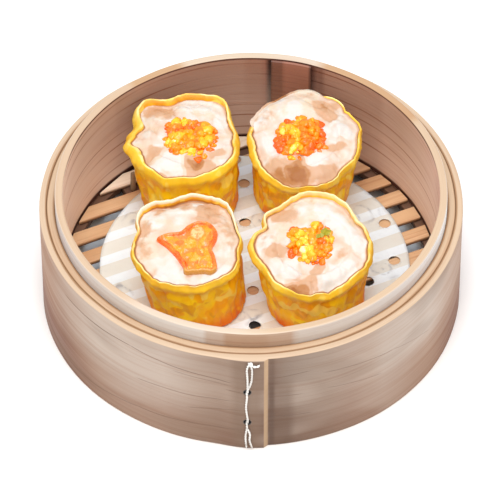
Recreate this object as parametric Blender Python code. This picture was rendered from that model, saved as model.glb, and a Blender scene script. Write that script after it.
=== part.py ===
"""Four open-topped shumai on perforated paper in a round bamboo steamer basket.

Metres, +Z up. The basket stands on z = 0 and the origin is under the middle of its outline.
Azimuths round the basket are in degrees, 0 at the front (-Y) and counted towards +X.
Angles round a shumai are in radians, counted from +X towards +Y.
"""

import math
import random
from collections import namedtuple

import bmesh
import bpy
from mathutils import Matrix, Vector

# Space kept between pieces that touch
GAP = 0.0003

# Basket: an inner hoop, two outer bands round it and a ring below that carries the floor
OUTER_RADIUS = 0.0760
TOTAL_HEIGHT = 0.0525
BAND_HEIGHT = 0.0460
OUTER_BAND_WALL = 0.0027
INNER_BAND_WALL = 0.0024
BAND_GAP = 0.0004
HOOP_WALL = 0.0028
EDGE_CHAMFER = 0.0005
HOOP_SEGMENTS = 72

# The floor: thin slats across the base ring, with two bars below them
FLOOR_TOP = 0.0120
SLAT_THICKNESS = 0.0018
SLAT_WIDTH = 0.0060
SLAT_PITCH = 0.0101
SLAT_SHIFT = -0.0004
SLAT_TURN = 25.0
SLATS_EACH_SIDE = 6
BASE_RING_BOTTOM = 0.0070
BASE_RING_LEDGE = 0.0030
BAR_WIDTH = 0.0060
BAR_OFFSET = 0.0224
PEG_SIZE = 0.0017
PEG_HEIGHT = 0.0092

# Where the outer band laps over itself at the front, and the splice inside the back wall
LAP_PROUD = 0.0012
LAP_TOP_AZIMUTH = 3.2
LAP_FOOT_AZIMUTH = 4.5
LAP_RUN_OUT = 11.0
SPLICE_FROM = 160.8
SPLICE_TO = 173.7
SPLICE_WALL = 0.0010

# The lacing through two eyelets beside the lap
EYELET_RADIUS = 0.0016
EYELET_X = -0.0014
UPPER_EYELET_Z = 0.0295
LOWER_EYELET_Z = 0.0139
CORD_RADIUS = 0.0005
CORD_SIDES = 6
KNOT_RADIUS = 0.0010

# The paper
PAPER_RADIUS = 0.0565
PAPER_CENTRE = (0.0012, -0.0007)
PAPER_THICKNESS = 0.0003
PAPER_SEGMENTS = 56
HOLE_RADIUS = 0.0022
HOLE_SEGMENTS = 10
HOLE_CENTRES = [
    (0.0489, 0.0213), (0.0520, 0.0026), (0.0423, -0.0078), (-0.0027, 0.0418),
    (-0.0023, 0.0218), (0.0006, -0.0123), (0.0013, -0.0295), (0.0330, -0.0420),
    (0.0130, -0.0510), (-0.0110, -0.0505), (-0.0310, -0.0430), (-0.0060, 0.0540),
]

# Shumai
WRAPPER_WALL = 0.0011
WRAPPER_FOOT_ROUND = 0.0015
WRAPPER_FLARE = 1.6
PLEATS = 9
PLEAT_DEPTH = 0.0003
CORNER_BULGE = 0.0008
CORNER_LIFT = 0.0006
FOLD_WIDTH = 0.18
FOOD_SEGMENTS = 32
FILLING_INSET = WRAPPER_WALL + 2 * GAP
FILLING_SINK = 0.0016
FILLING_BULGE = 0.0026
FILLING_LUMPS = 0.0006

Shumai = namedtuple(
    "Shumai", "base foot_radius top_centre top_half height tilt corner folds spill topping dent seed"
)
SHUMAI = {
    "back_left": Shumai(
        base=(-0.0224, 0.0335), foot_radius=0.0175, top_centre=(-0.0251, 0.0348),
        top_half=(0.0212, 0.0212), height=0.0315, tilt=3.0, corner=0.95,
        folds=[(1.92, 0.0015), (2.83, 0.0030)], spill=0.0,
        topping=(0.0020, 0.0), dent=0.0112, seed=11,
    ),
    "back_right": Shumai(
        base=(0.0184, 0.0368), foot_radius=0.0175, top_centre=(0.0194, 0.0347),
        top_half=(0.0210, 0.0220), height=0.0315, tilt=7.0, corner=1.75,
        folds=[(1.17, 0.0010)], spill=1.0,
        topping=(-0.0014, 0.0), dent=0.0112, seed=23,
    ),
    "front_left": Shumai(
        base=(-0.0194, -0.0163), foot_radius=0.0175, top_centre=(-0.0233, -0.0170),
        top_half=(0.0205, 0.0214), height=0.0315, tilt=6.5, corner=0.90,
        folds=[(2.00, 0.0012), (2.88, 0.0022)], spill=0.0,
        topping=(0.0004, -0.0030), dent=0.0130, seed=37,
    ),
    "front_right": Shumai(
        base=(0.0232, -0.0181), foot_radius=0.0175, top_centre=(0.0216, -0.0190),
        top_half=(0.0216, 0.0225), height=0.0315, tilt=8.0, corner=1.30,
        folds=[(2.76, 0.0026), (-1.36, 0.0012)], spill=0.0,
        topping=(0.0004, 0.0), dent=0.0112, seed=53,
    ),
}

# Toppings: a clump of roe on three shumai and a piece of prawn on the fourth
ROE_CLUMP_HALF = (0.0100, 0.0085)
ROE_CORE_HEIGHT = 0.0034
ROE_CORE_SEGMENTS = 14
ROE_GRAIN_RADII = (0.0017, 0.0024)
ROE_ROWS = [(0.0, 1), (0.45, 5), (0.78, 10)]
PRAWN_THICKNESS = 0.0034
PRAWN_OUTLINE = [
    (-0.0113, 0.0034), (-0.0040, 0.0055), (0.0020, 0.0108), (0.0080, 0.0100), (0.0106, 0.0050),
    (0.0088, -0.0005), (0.0104, -0.0060), (0.0085, -0.0110), (0.0025, -0.0100),
    (-0.0020, -0.0085), (-0.0050, -0.0030),
]
PRAWN_STEPS_BETWEEN = 3

# Sizes that follow from the ones above
INNER_BAND_OUTER = OUTER_RADIUS - OUTER_BAND_WALL - BAND_GAP
HOOP_OUTER = INNER_BAND_OUTER - INNER_BAND_WALL - GAP
HOOP_INNER = HOOP_OUTER - HOOP_WALL
SLAT_REACH = HOOP_INNER - GAP - 0.0001
BASE_RING_TOP = FLOOR_TOP - SLAT_THICKNESS - GAP
BASE_RING_INNER = HOOP_INNER - BASE_RING_LEDGE
PAPER_BOTTOM = FLOOR_TOP + GAP
FOOD_BOTTOM = PAPER_BOTTOM + PAPER_THICKNESS + GAP
CORD_STAND_OFF = GAP + CORD_RADIUS

# How far the lap and the lacing on it stand proud of the band: the basket's axis lies behind
# the origin by half of that, which puts the origin under the middle of the whole outline
FRONT_PROUD = LAP_PROUD + GAP + 2 * KNOT_RADIUS
AXIS_Y = FRONT_PROUD / 2

MATERIALS = {
    "bamboo_rim": ((0.91, 0.68, 0.47), 0.55),
    "bamboo_band": ((0.58, 0.48, 0.40), 0.60),
    "bamboo_slat": ((0.79, 0.47, 0.24), 0.60),
    "paper": ((0.88, 0.86, 0.84), 0.50),
    "wrapper": ((0.90, 0.52, 0.03), 0.35),
    "filling": ((0.98, 0.84, 0.72), 0.45),
    "roe": ((1.00, 0.33, 0.02), 0.25),
    "prawn": ((1.00, 0.40, 0.05), 0.30),
    "cord": ((0.85, 0.82, 0.78), 0.80),
}


def clear_scene():
    for obj in list(bpy.data.objects):
        bpy.data.objects.remove(obj, do_unlink=True)


def get_material(name):
    found = bpy.data.materials.get(name)
    if found:
        return found
    colour, roughness = MATERIALS[name]
    mat = bpy.data.materials.new(name)
    mat.use_nodes = True
    shader = mat.node_tree.nodes["Principled BSDF"]
    shader.inputs["Base Color"].default_value = (*colour, 1.0)
    shader.inputs["Roughness"].default_value = roughness
    shader.inputs["Metallic"].default_value = 0.0
    return mat


def make_basket_axis():
    """The empty that carries every piece, on the basket's axis."""
    axis = bpy.data.objects.new("basket_axis", None)
    axis.location = (0.0, AXIS_Y, 0.0)
    bpy.context.scene.collection.objects.link(axis)
    return axis


def add_object(name, bm, material, parent, smooth_angle=None, collection=None):
    """Turns a bmesh into a named object with its faces out."""
    bmesh.ops.recalc_face_normals(bm, faces=bm.faces[:])
    mesh = bpy.data.meshes.new(name)
    bm.to_mesh(mesh)
    bm.free()
    if smooth_angle is not None:
        mesh.shade_smooth()
        mesh.set_sharp_from_angle(angle=math.radians(smooth_angle))
    mesh.materials.append(get_material(material))
    obj = bpy.data.objects.new(name, mesh)
    obj.parent = parent
    (collection or bpy.context.scene.collection).objects.link(obj)
    return obj


def new_collection(name):
    collection = bpy.data.collections.new(name)
    bpy.context.scene.collection.children.link(collection)
    return collection


def skin_loops(bm, loops, closed=False, poles=None):
    """Joins equal loops of points, each to the next, into one closed skin.

    A closed row of loops meets itself. An open one ends in two flat caps, or at two pole points.
    """
    rows = [[bm.verts.new(point) for point in loop] for loop in loops]
    pairs = list(zip(rows, rows[1:]))
    if closed:
        pairs.append((rows[-1], rows[0]))
    for first, second in pairs:
        for i in range(len(first)):
            j = (i + 1) % len(first)
            bm.faces.new((first[i], first[j], second[j], second[i]))
    if closed:
        return
    for row, pole in zip((rows[0], rows[-1]), poles or (None, None)):
        if pole is None:
            bm.faces.new(row)
            continue
        tip = bm.verts.new(pole)
        for i in range(len(row)):
            bm.faces.new((row[i], row[(i + 1) % len(row)], tip))


def around(radius, azimuth, z):
    """The point at a radius and an azimuth round the basket's axis."""
    angle = math.radians(azimuth)
    return (radius * math.sin(angle), -radius * math.cos(angle), z)


def chamfered_section(azimuth, inner, outer, bottom, top):
    """A hoop's cross-section, with its two top edges chamfered."""
    corners = [
        (inner, bottom), (outer, bottom), (outer, top - EDGE_CHAMFER),
        (outer - EDGE_CHAMFER, top), (inner + EDGE_CHAMFER, top), (inner, top - EDGE_CHAMFER),
    ]
    return [around(radius, azimuth, z) for radius, z in corners]


def even_azimuths():
    step = 360.0 / HOOP_SEGMENTS
    return [i * step - 180.0 for i in range(HOOP_SEGMENTS)]


def lap_height(azimuth):
    """How far the outer band stands proud where its end laps over the turn below."""
    if azimuth >= LAP_FOOT_AZIMUTH or azimuth <= -LAP_RUN_OUT:
        return 0.0
    if azimuth > LAP_TOP_AZIMUTH:
        return LAP_PROUD * (LAP_FOOT_AZIMUTH - azimuth) / (LAP_FOOT_AZIMUTH - LAP_TOP_AZIMUTH)
    share = min(1.0, (azimuth + LAP_RUN_OUT) / LAP_RUN_OUT)
    return LAP_PROUD * share * share * (3.0 - 2.0 * share)


def build_inner_hoop(parent):
    bm = bmesh.new()
    sections = [
        chamfered_section(a, HOOP_INNER, HOOP_OUTER, BASE_RING_TOP + GAP, TOTAL_HEIGHT)
        for a in even_azimuths()
    ]
    skin_loops(bm, sections, closed=True)
    add_object("inner_hoop", bm, "bamboo_rim", parent, smooth_angle=25)


def build_inner_splice(parent):
    """The thin end of the inner hoop, which lies over its start inside the back wall."""
    outer = HOOP_INNER - GAP
    inner = outer - SPLICE_WALL
    bottom = FLOOR_TOP + GAP
    top = TOTAL_HEIGHT - EDGE_CHAMFER
    steps = 4
    sections = []
    for i in range(steps + 1):
        azimuth = SPLICE_FROM + (SPLICE_TO - SPLICE_FROM) * i / steps
        corners = [(inner, bottom), (outer, bottom), (outer, top), (inner, top)]
        sections.append([around(radius, azimuth, z) for radius, z in corners])
    bm = bmesh.new()
    skin_loops(bm, sections)
    add_object("inner_splice", bm, "bamboo_rim", parent, smooth_angle=25)


def build_inner_band(parent):
    bm = bmesh.new()
    inner = INNER_BAND_OUTER - INNER_BAND_WALL
    sections = [
        chamfered_section(a, inner, INNER_BAND_OUTER, 0.0, BAND_HEIGHT)
        for a in even_azimuths()
    ]
    skin_loops(bm, sections, closed=True)
    add_object("inner_band", bm, "bamboo_band", parent, smooth_angle=25)


def make_eyelet_cutter(name, z, parent):
    depth = 0.012
    bm = bmesh.new()
    bmesh.ops.create_cone(
        bm, cap_ends=True, segments=12, radius1=EYELET_RADIUS, radius2=EYELET_RADIUS, depth=depth
    )
    cutter = add_object(name, bm, "bamboo_band", parent)
    cutter.rotation_euler = (math.radians(90.0), 0.0, 0.0)
    cutter.location = (EYELET_X, -OUTER_RADIUS, z)
    cutter.hide_render = True
    cutter.display_type = "WIRE"
    return cutter


def build_outer_band(parent):
    """The outermost band, its outside thickened where its end laps over the turn below."""
    azimuths = [a for a in even_azimuths() if abs(a - LAP_FOOT_AZIMUTH) > 1.0]
    azimuths = sorted(azimuths + [LAP_TOP_AZIMUTH, LAP_FOOT_AZIMUTH])
    inner = OUTER_RADIUS - OUTER_BAND_WALL
    sections = [
        chamfered_section(a, inner, OUTER_RADIUS + lap_height(a), 0.0, BAND_HEIGHT)
        for a in azimuths
    ]
    bm = bmesh.new()
    skin_loops(bm, sections, closed=True)
    band = add_object("outer_band", bm, "bamboo_band", parent, smooth_angle=25)
    for name, z in (("upper", UPPER_EYELET_Z), ("lower", LOWER_EYELET_Z)):
        cut = band.modifiers.new(f"{name}_eyelet", "BOOLEAN")
        cut.operation = "DIFFERENCE"
        cut.solver = "EXACT"
        cut.object = make_eyelet_cutter(f"{name}_eyelet_cutter", z, parent)


def build_base_ring(parent):
    """The ring below the inner hoop, with an inward ledge for the ends of the slats."""
    corners = [
        (BASE_RING_INNER, BASE_RING_BOTTOM), (HOOP_OUTER, BASE_RING_BOTTOM),
        (HOOP_OUTER, BASE_RING_TOP), (BASE_RING_INNER, BASE_RING_TOP),
    ]
    sections = [[around(radius, a, z) for radius, z in corners] for a in even_azimuths()]
    bm = bmesh.new()
    skin_loops(bm, sections, closed=True)
    add_object("base_ring", bm, "bamboo_slat", parent, smooth_angle=25)


def strip_in_circle(bm, centre, width, reach, thickness):
    """A flat strip along X at y = centre, with both ends cut to a circle round the origin."""
    end_steps = 4
    offsets = [centre - width / 2 + width * i / end_steps for i in range(end_steps + 1)]
    right = [(math.sqrt(reach ** 2 - y ** 2), y) for y in offsets]
    left = [(-x, y) for x, y in reversed(right)]
    loops = [
        [(x, y - centre, z) for x, y in right + left]
        for z in (-thickness / 2, thickness / 2)
    ]
    skin_loops(bm, loops)


def place_strip(strip, across, turn, z):
    """Turns a strip about the axis and moves it sideways to its place."""
    angle = math.radians(turn)
    strip.rotation_euler = (0.0, 0.0, angle)
    strip.location = (-across * math.sin(angle), across * math.cos(angle), z)


def build_slats(parent):
    for index in range(-SLATS_EACH_SIDE, SLATS_EACH_SIDE + 1):
        across = SLAT_SHIFT + index * SLAT_PITCH
        bm = bmesh.new()
        strip_in_circle(bm, across, SLAT_WIDTH, SLAT_REACH, SLAT_THICKNESS)
        name = f"slat_{index + SLATS_EACH_SIDE + 1:02d}"
        slat = add_object(name, bm, "bamboo_slat", parent)
        place_strip(slat, across, SLAT_TURN, FLOOR_TOP - SLAT_THICKNESS / 2)


def build_cross_bars(parent):
    height = BASE_RING_TOP - BASE_RING_BOTTOM
    reach = BASE_RING_INNER - GAP - 0.0001
    for name, across in (("left", BAR_OFFSET), ("right", -BAR_OFFSET)):
        bm = bmesh.new()
        strip_in_circle(bm, across, BAR_WIDTH, reach, height)
        bar = add_object(f"cross_bar_{name}", bm, "bamboo_slat", parent)
        place_strip(bar, across, SLAT_TURN + 90.0, (BASE_RING_TOP + BASE_RING_BOTTOM) / 2)


def build_peg(parent):
    """The upright peg on the left bar, in the gap before the last slat."""
    across = SLAT_SHIFT + (SLATS_EACH_SIDE - 0.5) * SLAT_PITCH
    bottom = BASE_RING_TOP + GAP
    bm = bmesh.new()
    bmesh.ops.create_cube(bm, size=1.0)
    bmesh.ops.scale(bm, vec=(PEG_SIZE, PEG_SIZE, PEG_HEIGHT), verts=bm.verts)
    peg = add_object("slat_peg", bm, "bamboo_slat", parent)
    turn = Matrix.Rotation(math.radians(SLAT_TURN), 4, "Z")
    peg.location = turn @ Vector((-BAR_OFFSET, across, bottom + PEG_HEIGHT / 2))
    peg.rotation_euler = (0.0, 0.0, math.radians(SLAT_TURN))


def circle_edges(bm, centre, radius, segments):
    verts = []
    for i in range(segments):
        angle = 2.0 * math.pi * i / segments
        x = centre[0] + radius * math.cos(angle)
        y = centre[1] + radius * math.sin(angle)
        verts.append(bm.verts.new((x, y, PAPER_BOTTOM)))
    return [bm.edges.new((verts[i], verts[(i + 1) % segments])) for i in range(segments)]


def build_paper(parent):
    bm = bmesh.new()
    edges = circle_edges(bm, PAPER_CENTRE, PAPER_RADIUS, PAPER_SEGMENTS)
    for centre in HOLE_CENTRES:
        edges += circle_edges(bm, centre, HOLE_RADIUS, HOLE_SEGMENTS)
    bmesh.ops.triangle_fill(bm, edges=edges, use_beauty=True)
    lifted = bmesh.ops.extrude_face_region(bm, geom=bm.faces[:])
    top = [item for item in lifted["geom"] if isinstance(item, bmesh.types.BMVert)]
    bmesh.ops.translate(bm, vec=(0.0, 0.0, PAPER_THICKNESS), verts=top)
    add_object("paper_liner", bm, "paper", parent)


def angle_between(first, second):
    """The smallest turn from one angle to another, in radians."""
    return (first - second + math.pi) % (2.0 * math.pi) - math.pi


def spill_share(shumai, angle):
    """How far the filling spills over the rim at an angle: most at the back."""
    return shumai.spill * max(0.0, min(1.0, 1.6 * math.sin(angle) - 0.2))


def rim_radius(shumai, angle):
    """The wrapper's outline at its rim: rounded corners, pleats and a few deep folds."""
    half_x, half_y = shumai.top_half
    radius = half_x * half_y / math.hypot(half_y * math.cos(angle), half_x * math.sin(angle))
    radius += CORNER_BULGE * math.cos(4.0 * (angle - shumai.corner))
    radius += PLEAT_DEPTH * math.cos(PLEATS * angle + shumai.seed)
    for fold_angle, depth in shumai.folds:
        turn = angle_between(angle, fold_angle) / FOLD_WIDTH
        radius -= depth * math.exp(-turn * turn)
    return radius


def rim_height(shumai, angle):
    """The rim's height over the foot: it rises to the back and at the wrapper's corners."""
    radius = rim_radius(shumai, angle)
    rise = math.tan(math.radians(shumai.tilt)) * radius * math.sin(angle)
    lift = CORNER_LIFT * math.cos(4.0 * (angle - shumai.corner))
    drop = 0.0030 * spill_share(shumai, angle)
    return shumai.height + rise + lift - drop


def wrapper_point(shumai, angle, level, inset, lift=0.0):
    """A point on the wrapper's outside at a share of its height, moved in by inset."""
    share = level ** WRAPPER_FLARE
    radius = shumai.foot_radius + (rim_radius(shumai, angle) - shumai.foot_radius) * share - inset
    centre_x = shumai.base[0] + (shumai.top_centre[0] - shumai.base[0]) * level
    centre_y = shumai.base[1] + (shumai.top_centre[1] - shumai.base[1]) * level
    return (
        centre_x + radius * math.cos(angle),
        centre_y + radius * math.sin(angle),
        FOOD_BOTTOM + rim_height(shumai, angle) * level + lift,
    )


def food_angles():
    return [2.0 * math.pi * i / FOOD_SEGMENTS for i in range(FOOD_SEGMENTS)]


def build_wrapper(name, shumai, parent):
    """The thin cup of dough: up the outside, over the rim and down the inside."""
    foot = WRAPPER_FOOT_ROUND
    wall = WRAPPER_WALL
    rows = [
        (0.0, foot, 0.0), (0.0, 0.0, foot), (0.30, 0.0, 0.0), (0.60, 0.0, 0.0), (0.82, 0.0, 0.0),
        (1.0, 0.0, -0.0004), (1.0, wall / 2, 0.0), (1.0, wall, -0.0004),
        (0.82, wall, 0.0), (0.60, wall, 0.0),
        (0.0, wall + 0.0002, wall + 0.0005), (0.0, 0.004, wall),
    ]
    loops = [
        [wrapper_point(shumai, angle, level, inset, lift) for angle in food_angles()]
        for level, inset, lift in rows
    ]
    poles = [(*shumai.base, FOOD_BOTTOM), (*shumai.base, FOOD_BOTTOM + wall)]
    bm = bmesh.new()
    skin_loops(bm, loops, poles=poles)
    add_object(f"{name}_wrapper", bm, "wrapper", parent, smooth_angle=60)


def top_plane(shumai, x, y):
    """The height of the sloping top surface before it bulges."""
    rise = math.tan(math.radians(shumai.tilt)) * (y - shumai.top_centre[1])
    return FOOD_BOTTOM + shumai.height - FILLING_SINK + rise


def filling_bulge(shumai, x, y, edge_share):
    """How high the minced filling swells over the top plane: a lumpy ring round a dent."""
    middle_x = shumai.top_centre[0] + shumai.topping[0]
    middle_y = shumai.top_centre[1] + shumai.topping[1]
    from_dent = math.hypot(x - middle_x, y - middle_y) - shumai.dent
    share = max(0.0, min(1.0, from_dent / 0.003))
    ring = share * share * (3.0 - 2.0 * share)
    fall = 1.0 - edge_share ** 4
    waves = math.sin(620.0 * x + shumai.seed) + math.sin(540.0 * y + 2.0 * shumai.seed)
    return ring * (FILLING_BULGE * fall + FILLING_LUMPS * waves * fall)


def filling_top_loop(shumai, share):
    """One loop of the filling's top, at a share of the way from its middle to the rim."""
    loop = []
    for angle in food_angles():
        edge = wrapper_point(shumai, angle, 1.0, FILLING_INSET)
        x = shumai.top_centre[0] + (edge[0] - shumai.top_centre[0]) * share
        y = shumai.top_centre[1] + (edge[1] - shumai.top_centre[1]) * share
        z = top_plane(shumai, x, y) + filling_bulge(shumai, x, y, share)
        loop.append((x, y, z))
    return loop


def filling_lip_loop(shumai):
    """The filling's edge just over the rim, reaching out over it where the filling spills."""
    loop = []
    for angle in food_angles():
        spill = spill_share(shumai, angle)
        inset = FILLING_INSET * (1.0 - spill)
        lift = -0.0008 + spill * 0.0014
        loop.append(wrapper_point(shumai, angle, 1.0, inset, lift))
    return loop


def build_filling(name, shumai, parent):
    """The mince, one solid from the wrapper's floor to the bulging top."""
    inset = FILLING_INSET
    rows = [
        (0.0, 0.005, inset), (0.0, inset + 0.0006, inset + 0.0008),
        (0.60, inset, 0.0), (0.82, inset, 0.0),
    ]
    loops = [
        [wrapper_point(shumai, angle, level, away, lift) for angle in food_angles()]
        for level, away, lift in rows
    ]
    if shumai.spill:
        loops.append([wrapper_point(shumai, a, 1.0, inset, -0.0004) for a in food_angles()])
    loops.append(filling_lip_loop(shumai))
    for share in (0.90, 0.74, 0.56, 0.30):
        loops.append(filling_top_loop(shumai, share))
    centre = shumai.top_centre
    poles = [(*shumai.base, FOOD_BOTTOM + inset), (*centre, top_plane(shumai, *centre))]
    bm = bmesh.new()
    skin_loops(bm, loops, poles=poles)
    add_object(f"{name}_filling", bm, "filling", parent, smooth_angle=60)


def place_topping(topping, shumai):
    """Lays a topping on the sloping dent of its filling."""
    x = shumai.top_centre[0] + shumai.topping[0]
    y = shumai.top_centre[1] + shumai.topping[1]
    topping.rotation_euler = (math.radians(shumai.tilt), 0.0, 0.0)
    topping.location = (x, y, top_plane(shumai, x, y) + GAP)


def roe_core():
    """The low dome below the grains of a clump."""
    half_x, half_y = ROE_CLUMP_HALF
    loops = []
    for share, height in ((0.80, 0.0), (0.86, 0.35), (0.62, 0.80)):
        loop = []
        for i in range(ROE_CORE_SEGMENTS):
            angle = 2.0 * math.pi * i / ROE_CORE_SEGMENTS
            x = half_x * share * math.cos(angle)
            y = half_y * share * math.sin(angle)
            loop.append((x, y, ROE_CORE_HEIGHT * height))
        loops.append(loop)
    bm = bmesh.new()
    skin_loops(bm, loops, poles=[(0.0, 0.0, 0.0), (0.0, 0.0, ROE_CORE_HEIGHT)])
    return bm


def grain_bmesh(place, radius, turn):
    """A small round grain, turned so that no two have faces in one plane."""
    bm = bmesh.new()
    bmesh.ops.create_icosphere(bm, subdivisions=1, radius=radius)
    bmesh.ops.rotate(bm, matrix=Matrix.Rotation(turn, 3, (1.0, 0.7, 0.4)), verts=bm.verts)
    bmesh.ops.translate(bm, vec=place, verts=bm.verts)
    return bm


def scatter_grains(collection, seed):
    """Grains in rows round the clump, each resting on or above its floor."""
    draw = random.Random(seed)
    half_x, half_y = ROE_CLUMP_HALF
    for share, count in ROE_ROWS:
        start = draw.uniform(0.0, math.tau)
        for i in range(count):
            angle = start + math.tau * (i + draw.uniform(-0.2, 0.2)) / count
            radius = draw.uniform(*ROE_GRAIN_RADII)
            reach = share + draw.uniform(-0.06, 0.06)
            x = half_x * reach * math.cos(angle)
            y = half_y * reach * math.sin(angle)
            z = max(radius, ROE_CORE_HEIGHT * (1.0 - 0.75 * reach * reach))
            grain = grain_bmesh((x, y, z), radius, draw.uniform(0.0, 3.0))
            add_object(f"grain_{share}_{i}", grain, "roe", None, collection=collection)


def keep_largest_shell(mesh):
    """Drops loose scraps and the shells of sealed hollows, which leaves one solid body."""
    bm = bmesh.new()
    bm.from_mesh(mesh)
    waiting = set(bm.verts)
    shells = []
    while waiting:
        shell = {waiting.pop()}
        edge_of_shell = list(shell)
        while edge_of_shell:
            vert = edge_of_shell.pop()
            for edge in vert.link_edges:
                other = edge.other_vert(vert)
                if other not in shell:
                    shell.add(other)
                    edge_of_shell.append(other)
        waiting -= shell
        shells.append(shell)
    shells.sort(key=len)
    for shell in shells[:-1]:
        bmesh.ops.delete(bm, geom=list(shell), context="VERTS")
    bm.to_mesh(mesh)
    bm.free()


def fuse_with_collection(obj, collection):
    """Unites an object with a collection's objects, and removes those afterwards."""
    union = obj.modifiers.new("fuse", "BOOLEAN")
    union.operation = "UNION"
    union.operand_type = "COLLECTION"
    union.collection = collection
    union.solver = "EXACT"
    graph = bpy.context.evaluated_depsgraph_get()
    fused = bpy.data.meshes.new_from_object(obj.evaluated_get(graph))
    obj.modifiers.clear()
    keep_largest_shell(fused)
    obj.data = fused
    for item in list(collection.objects):
        bpy.data.objects.remove(item, do_unlink=True)
    bpy.data.collections.remove(collection)


def build_roe(name, shumai, parent):
    """A clump of roe: a low core with its grains fused on."""
    clump = add_object(f"{name}_roe", roe_core(), "roe", parent)
    grains = new_collection(f"{name}_grains")
    scatter_grains(grains, shumai.seed)
    fuse_with_collection(clump, grains)
    place_topping(clump, shumai)


def smooth_outline(points, steps):
    """A closed curve through the points, with some steps between each two."""
    outline = []
    count = len(points)
    for i in range(count):
        before, start, end, after = (Vector(points[(i + k) % count]) for k in (-1, 0, 1, 2))
        for step in range(steps):
            t = step / steps
            outline.append(
                0.5 * (
                    2.0 * start + (end - before) * t
                    + (2.0 * before - 5.0 * start + 4.0 * end - after) * t ** 2
                    + (3.0 * start - before - 3.0 * end + after) * t ** 3
                )
            )
    return outline


def build_prawn(name, shumai, parent):
    """A curled piece of cooked prawn, flat below and domed above."""
    outline = smooth_outline(PRAWN_OUTLINE, PRAWN_STEPS_BETWEEN)
    centre = Vector((0.0035, 0.0005))
    loops = []
    for share, height in ((0.94, 0.0), (1.0, 0.3), (0.84, 0.78), (0.45, 0.96)):
        loops.append([
            (*(centre + (point - centre) * share), PRAWN_THICKNESS * height) for point in outline
        ])
    bm = bmesh.new()
    skin_loops(bm, loops, poles=[(*centre, 0.0), (*centre, PRAWN_THICKNESS)])
    piece = add_object(f"{name}_prawn", bm, "prawn", parent, smooth_angle=60)
    place_topping(piece, shumai)


def build_shumai(parent):
    for place, shumai in SHUMAI.items():
        name = f"shumai_{place}"
        build_wrapper(name, shumai, parent)
        build_filling(name, shumai, parent)
        if place == "front_left":
            build_prawn(name, shumai, parent)
        else:
            build_roe(name, shumai, parent)


def on_lap(x, z, stand_off):
    """A point over the lapped front of the outer band."""
    azimuth = math.degrees(math.asin(x / OUTER_RADIUS))
    return around(OUTER_RADIUS + lap_height(azimuth) + stand_off, azimuth, z)


def through_eyelet(z, side):
    """A run's way into an eyelet from above (side 1) or below (side -1)."""
    x = EYELET_X + 0.00012 * side
    return [
        (x, z + 0.0024 * side, CORD_STAND_OFF), (x, z + 0.0012 * side, CORD_STAND_OFF),
        (x, z + 0.0004 * side, 0.0), (x, z + 0.0003 * side, -0.0017 - 0.0002 * side),
    ]


def cord_paths():
    """The visible runs of the lacing, as (x, z, distance off the band) triples."""
    off = CORD_STAND_OFF
    x = EYELET_X
    left_run = [(-0.0009, 0.0448, off), (-0.0015, 0.0420, off), (-0.0013, 0.0370, off)]
    left_run += through_eyelet(UPPER_EYELET_Z, 1)
    right_run = [
        (-0.0004, 0.0446, off), (0.0002, 0.0420, off), (0.0001, 0.0370, off),
        (-0.0006, 0.0335, off), (x + 0.0001, UPPER_EYELET_Z + 0.0024, off + 0.0001),
    ]
    middle_run = through_eyelet(UPPER_EYELET_Z, -1)[::-1]
    middle_run += [(-0.0018, 0.0220, off)] + through_eyelet(LOWER_EYELET_Z, 1)
    left_tail = through_eyelet(LOWER_EYELET_Z, -1)[::-1]
    left_tail += [(-0.0020, 0.0070, off), (-0.0017, 0.0012, off)]
    right_tail = [
        (x + 0.0001, LOWER_EYELET_Z - 0.0026, off + 0.0001), (-0.0005, 0.0082, off),
        (-0.0006, 0.0050, off), (0.0003, 0.0009, off),
    ]
    bow = [
        (-0.0003, 0.0446, off), (0.0008, 0.0438, off), (0.0021, 0.0438, off), (0.0027, 0.0446, off)
    ]
    return [left_run, right_run, middle_run, left_tail, right_tail, bow]


def tube_bmesh(points, radius, sides):
    """A tube round a row of points, with flat ends."""
    spots = [Vector(point) for point in points]
    loops = []
    for i, spot in enumerate(spots):
        along = (spots[min(i + 1, len(spots) - 1)] - spots[max(i - 1, 0)]).normalized()
        side = along.cross(Vector((0.3, 0.1, 0.2))).normalized()
        other = along.cross(side)
        loop = []
        for k in range(sides):
            angle = math.tau * k / sides
            loop.append(spot + radius * (side * math.cos(angle) + other * math.sin(angle)))
        loops.append(loop)
    bm = bmesh.new()
    skin_loops(bm, loops)
    return bm


def build_lacing(parent):
    """The cord through both eyelets: a knot, two strands, one strand and two tails."""
    paths = [[on_lap(*spot) for spot in path] for path in cord_paths()]
    cord = add_object("lacing_cord", tube_bmesh(paths[0], CORD_RADIUS, CORD_SIDES), "cord", parent)
    runs = new_collection("lacing_runs")
    for index, path in enumerate(paths[1:]):
        run = tube_bmesh(path, CORD_RADIUS, CORD_SIDES)
        add_object(f"lacing_run_{index}", run, "cord", parent, collection=runs)
    knot = grain_bmesh(on_lap(-0.0006, 0.0447, KNOT_RADIUS + GAP), KNOT_RADIUS, 0.5)
    add_object("lacing_knot", knot, "cord", parent, collection=runs)
    bpy.context.view_layer.update()
    fuse_with_collection(cord, runs)


def main():
    clear_scene()
    axis = make_basket_axis()
    build_inner_hoop(axis)
    build_inner_splice(axis)
    build_inner_band(axis)
    build_outer_band(axis)
    build_base_ring(axis)
    build_slats(axis)
    build_cross_bars(axis)
    build_peg(axis)
    build_paper(axis)
    build_shumai(axis)
    build_lacing(axis)


main()
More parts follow.
